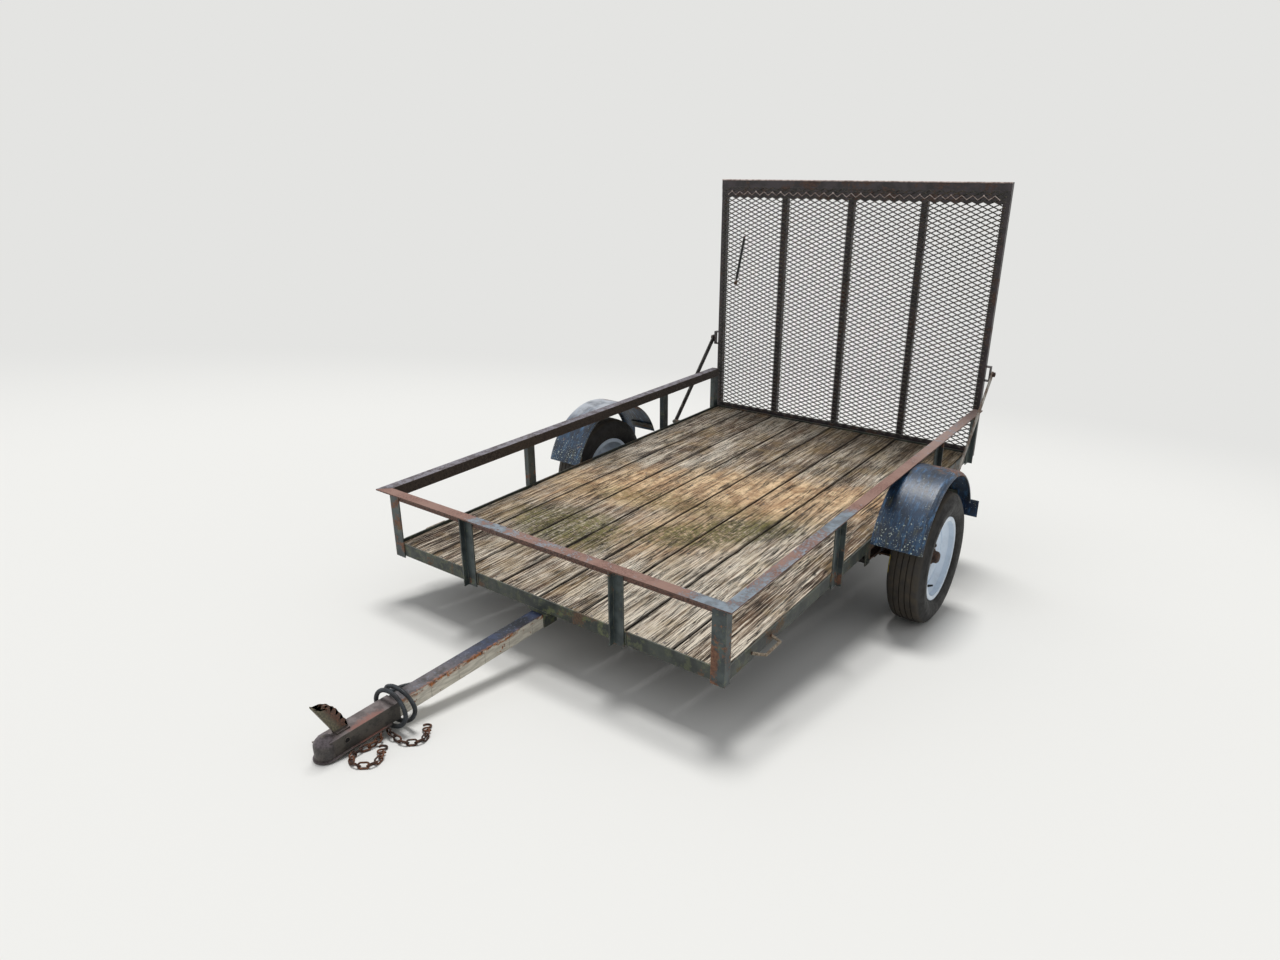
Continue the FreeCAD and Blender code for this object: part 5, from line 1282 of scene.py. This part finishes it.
class TRAILER_OT_weld_beads(bpy.types.Operator):
    """Run a short weld bead where each post meets the rail and the frame"""

    bl_idname = "trailer.weld_beads"
    bl_label = "Weld beads"

    def execute(self, context):
        tree, given = new_tree("Weld beads", ripple=0.0024, spacing=0.0022)
        line = node(tree, "GeometryNodeMeshToCurve", {0: given.points})
        steps = node(tree, "GeometryNodeResampleCurve", {"Curve": line, "Length": given.spacing}, mode="LENGTH")
        drop = node(tree, "GeometryNodeMeshIcoSphere", {"Radius": given.ripple, "Subdivisions": 2})
        sizes = node(tree, "FunctionNodeRandomValue", {2: 0.75, 3: 1.15}, 1, data_type="FLOAT")
        ends = [parked(*end) for seam in weld_seams() for end in seam]
        base = base_mesh("weld_lines", ends, [(index, index + 1) for index in range(0, len(ends), 2)])
        laid = node(tree, "GeometryNodeInstanceOnPoints", {0: steps, "Instance": drop, "Scale": sizes})
        mesh = grown("weld_beads", laid, given, base, "post_paint")
        new_piece("weld_beads", mesh, "post_paint", smooth=180.0)
        return {"FINISHED"}


# Lamps: name, strength, size, tilt and turn in degrees
LAMPS = [("high_sun", 2.2, 20.0, 10.0, 236.0), ("soft_fill", 0.25, 40.0, 60.0, -30.0)]
# The floor runs into the backdrop's colour between these distances from the middle, in metres
FLOOR_FADE = (3.5, 9.0)
# Camera as fitted to the photograph: lens in millimetres, place from the wheels' line, turn in degrees
LENS = 23.186
EYE_PLACE = Vector((1.80679, -3.45721, 1.10126))
EYE_TURN = (75.3082, -4.5293, 36.3305)


def studio_floor(shade):
    """The plain pale floor, in this colour near the trailer."""
    floor = bmesh.new()
    bmesh.ops.create_grid(floor, x_segments=1, y_segments=1, size=60.0)
    ground = in_scene("studio_floor", from_bmesh("studio_floor", floor))
    pale = bpy.data.materials.new("studio_floor")
    pale.use_nodes = True
    tree = pale.node_tree
    shader = Output(tree.nodes["Principled BSDF"].outputs[0])
    for name, value in (("Base Color", (*shade, 1.0)), ("Roughness", 1.0), ("Specular IOR Level", 0.0)):
        join(value, shader.socket.node.inputs[name])
    spot = node(tree, "ShaderNodeTexCoord", output="Object")
    reach = node(tree, "ShaderNodeVectorMath", {0: spot}, "Value", operation="LENGTH")
    glow = node(tree, "ShaderNodeEmission", {"Color": BACKDROP, "Strength": 1.0})
    blend = node(tree, "ShaderNodeMixShader", {0: reach.between(*FLOOR_FADE), 1: shader, 2: glow})
    join(blend, tree.nodes["Material Output"].inputs["Surface"])
    ground.data.materials.append(pale)
    return ground


def studio_light():
    """A plain bright backdrop that lights the object softly, and the lamps."""
    world = bpy.data.worlds.new("studio_light")
    world.use_nodes = True
    bpy.context.scene.world = world
    tree = world.node_tree
    back = tree.nodes["Background"]
    path = tree.nodes.new("ShaderNodeLightPath").outputs
    seen = Output(path["Is Camera Ray"])
    for other in ("Is Glossy Ray", "Is Transmission Ray"):
        seen = seen.most(Output(path[other]))
    join(mix(seen, "#D3D5D8", BACKDROP), back.inputs["Color"])
    join(node(tree, "ShaderNodeMapRange", {0: seen, 3: 0.66, 4: 1.0}), back.inputs["Strength"])
    for name, energy, size, tilt, turn in LAMPS:
        lamp = bpy.data.lights.new(name, "SUN")
        lamp.energy = energy
        lamp.angle = math.radians(size)
        in_scene(name, lamp).rotation_euler = (math.radians(tilt), 0.0, math.radians(turn))


class TRAILER_OT_stage(bpy.types.Operator):
    """Set the floor, the lamps and the camera"""

    bl_idname = "trailer.stage"
    bl_label = "Stage"

    def execute(self, context):
        scene = context.scene
        scene.view_settings.view_transform = "Standard"
        studio_floor(scene.trailer.floor_colour)
        studio_light()
        camera = bpy.data.cameras.new("photo_view")
        camera.lens = LENS
        camera.sensor_width = 36.0
        camera.clip_end = 200.0
        scene.camera = in_scene("photo_view", camera)
        scene.camera.location = WHEEL_CENTRE + EYE_PLACE
        scene.camera.rotation_euler = [math.radians(angle) for angle in EYE_TURN]
        return {"FINISHED"}


class TRAILER_PT_panel(bpy.types.Panel):
    """Lists the trailer's makers and sizes"""

    bl_idname = "TRAILER_PT_panel"
    bl_label = "Utility trailer"
    bl_space_type = "VIEW_3D"
    bl_region_type = "UI"
    bl_category = "Trailer"

    def draw(self, context):
        for name in TrailerSettings.__annotations__:
            self.layout.prop(context.scene.trailer, name)
        for maker in MAKERS:
            self.layout.operator(maker.bl_idname)


MAKERS = (
    TRAILER_OT_stage,
    TRAILER_OT_wiring_lead,
    TRAILER_OT_finishes,
    TRAILER_OT_gate_sheet,
    TRAILER_OT_tyres,
    TRAILER_OT_deck_screws,
    TRAILER_OT_safety_chain,
    TRAILER_OT_fender_trim,
    TRAILER_OT_coupler_latch,
    TRAILER_OT_weld_beads,
)


def register():
    for made in (TrailerSettings, *MAKERS, TRAILER_PT_panel):
        bpy.utils.register_class(made)
    bpy.types.Scene.trailer = bpy.props.PointerProperty(type=TrailerSettings)


def unregister():
    del bpy.types.Scene.trailer
    for made in (TRAILER_PT_panel, *reversed(MAKERS), TrailerSettings):
        bpy.utils.unregister_class(made)


def main():
    register()
    for maker in MAKERS:
        group, name = maker.bl_idname.split(".")
        getattr(getattr(bpy.ops, group), name)()


if __name__ == "__main__":
    main()
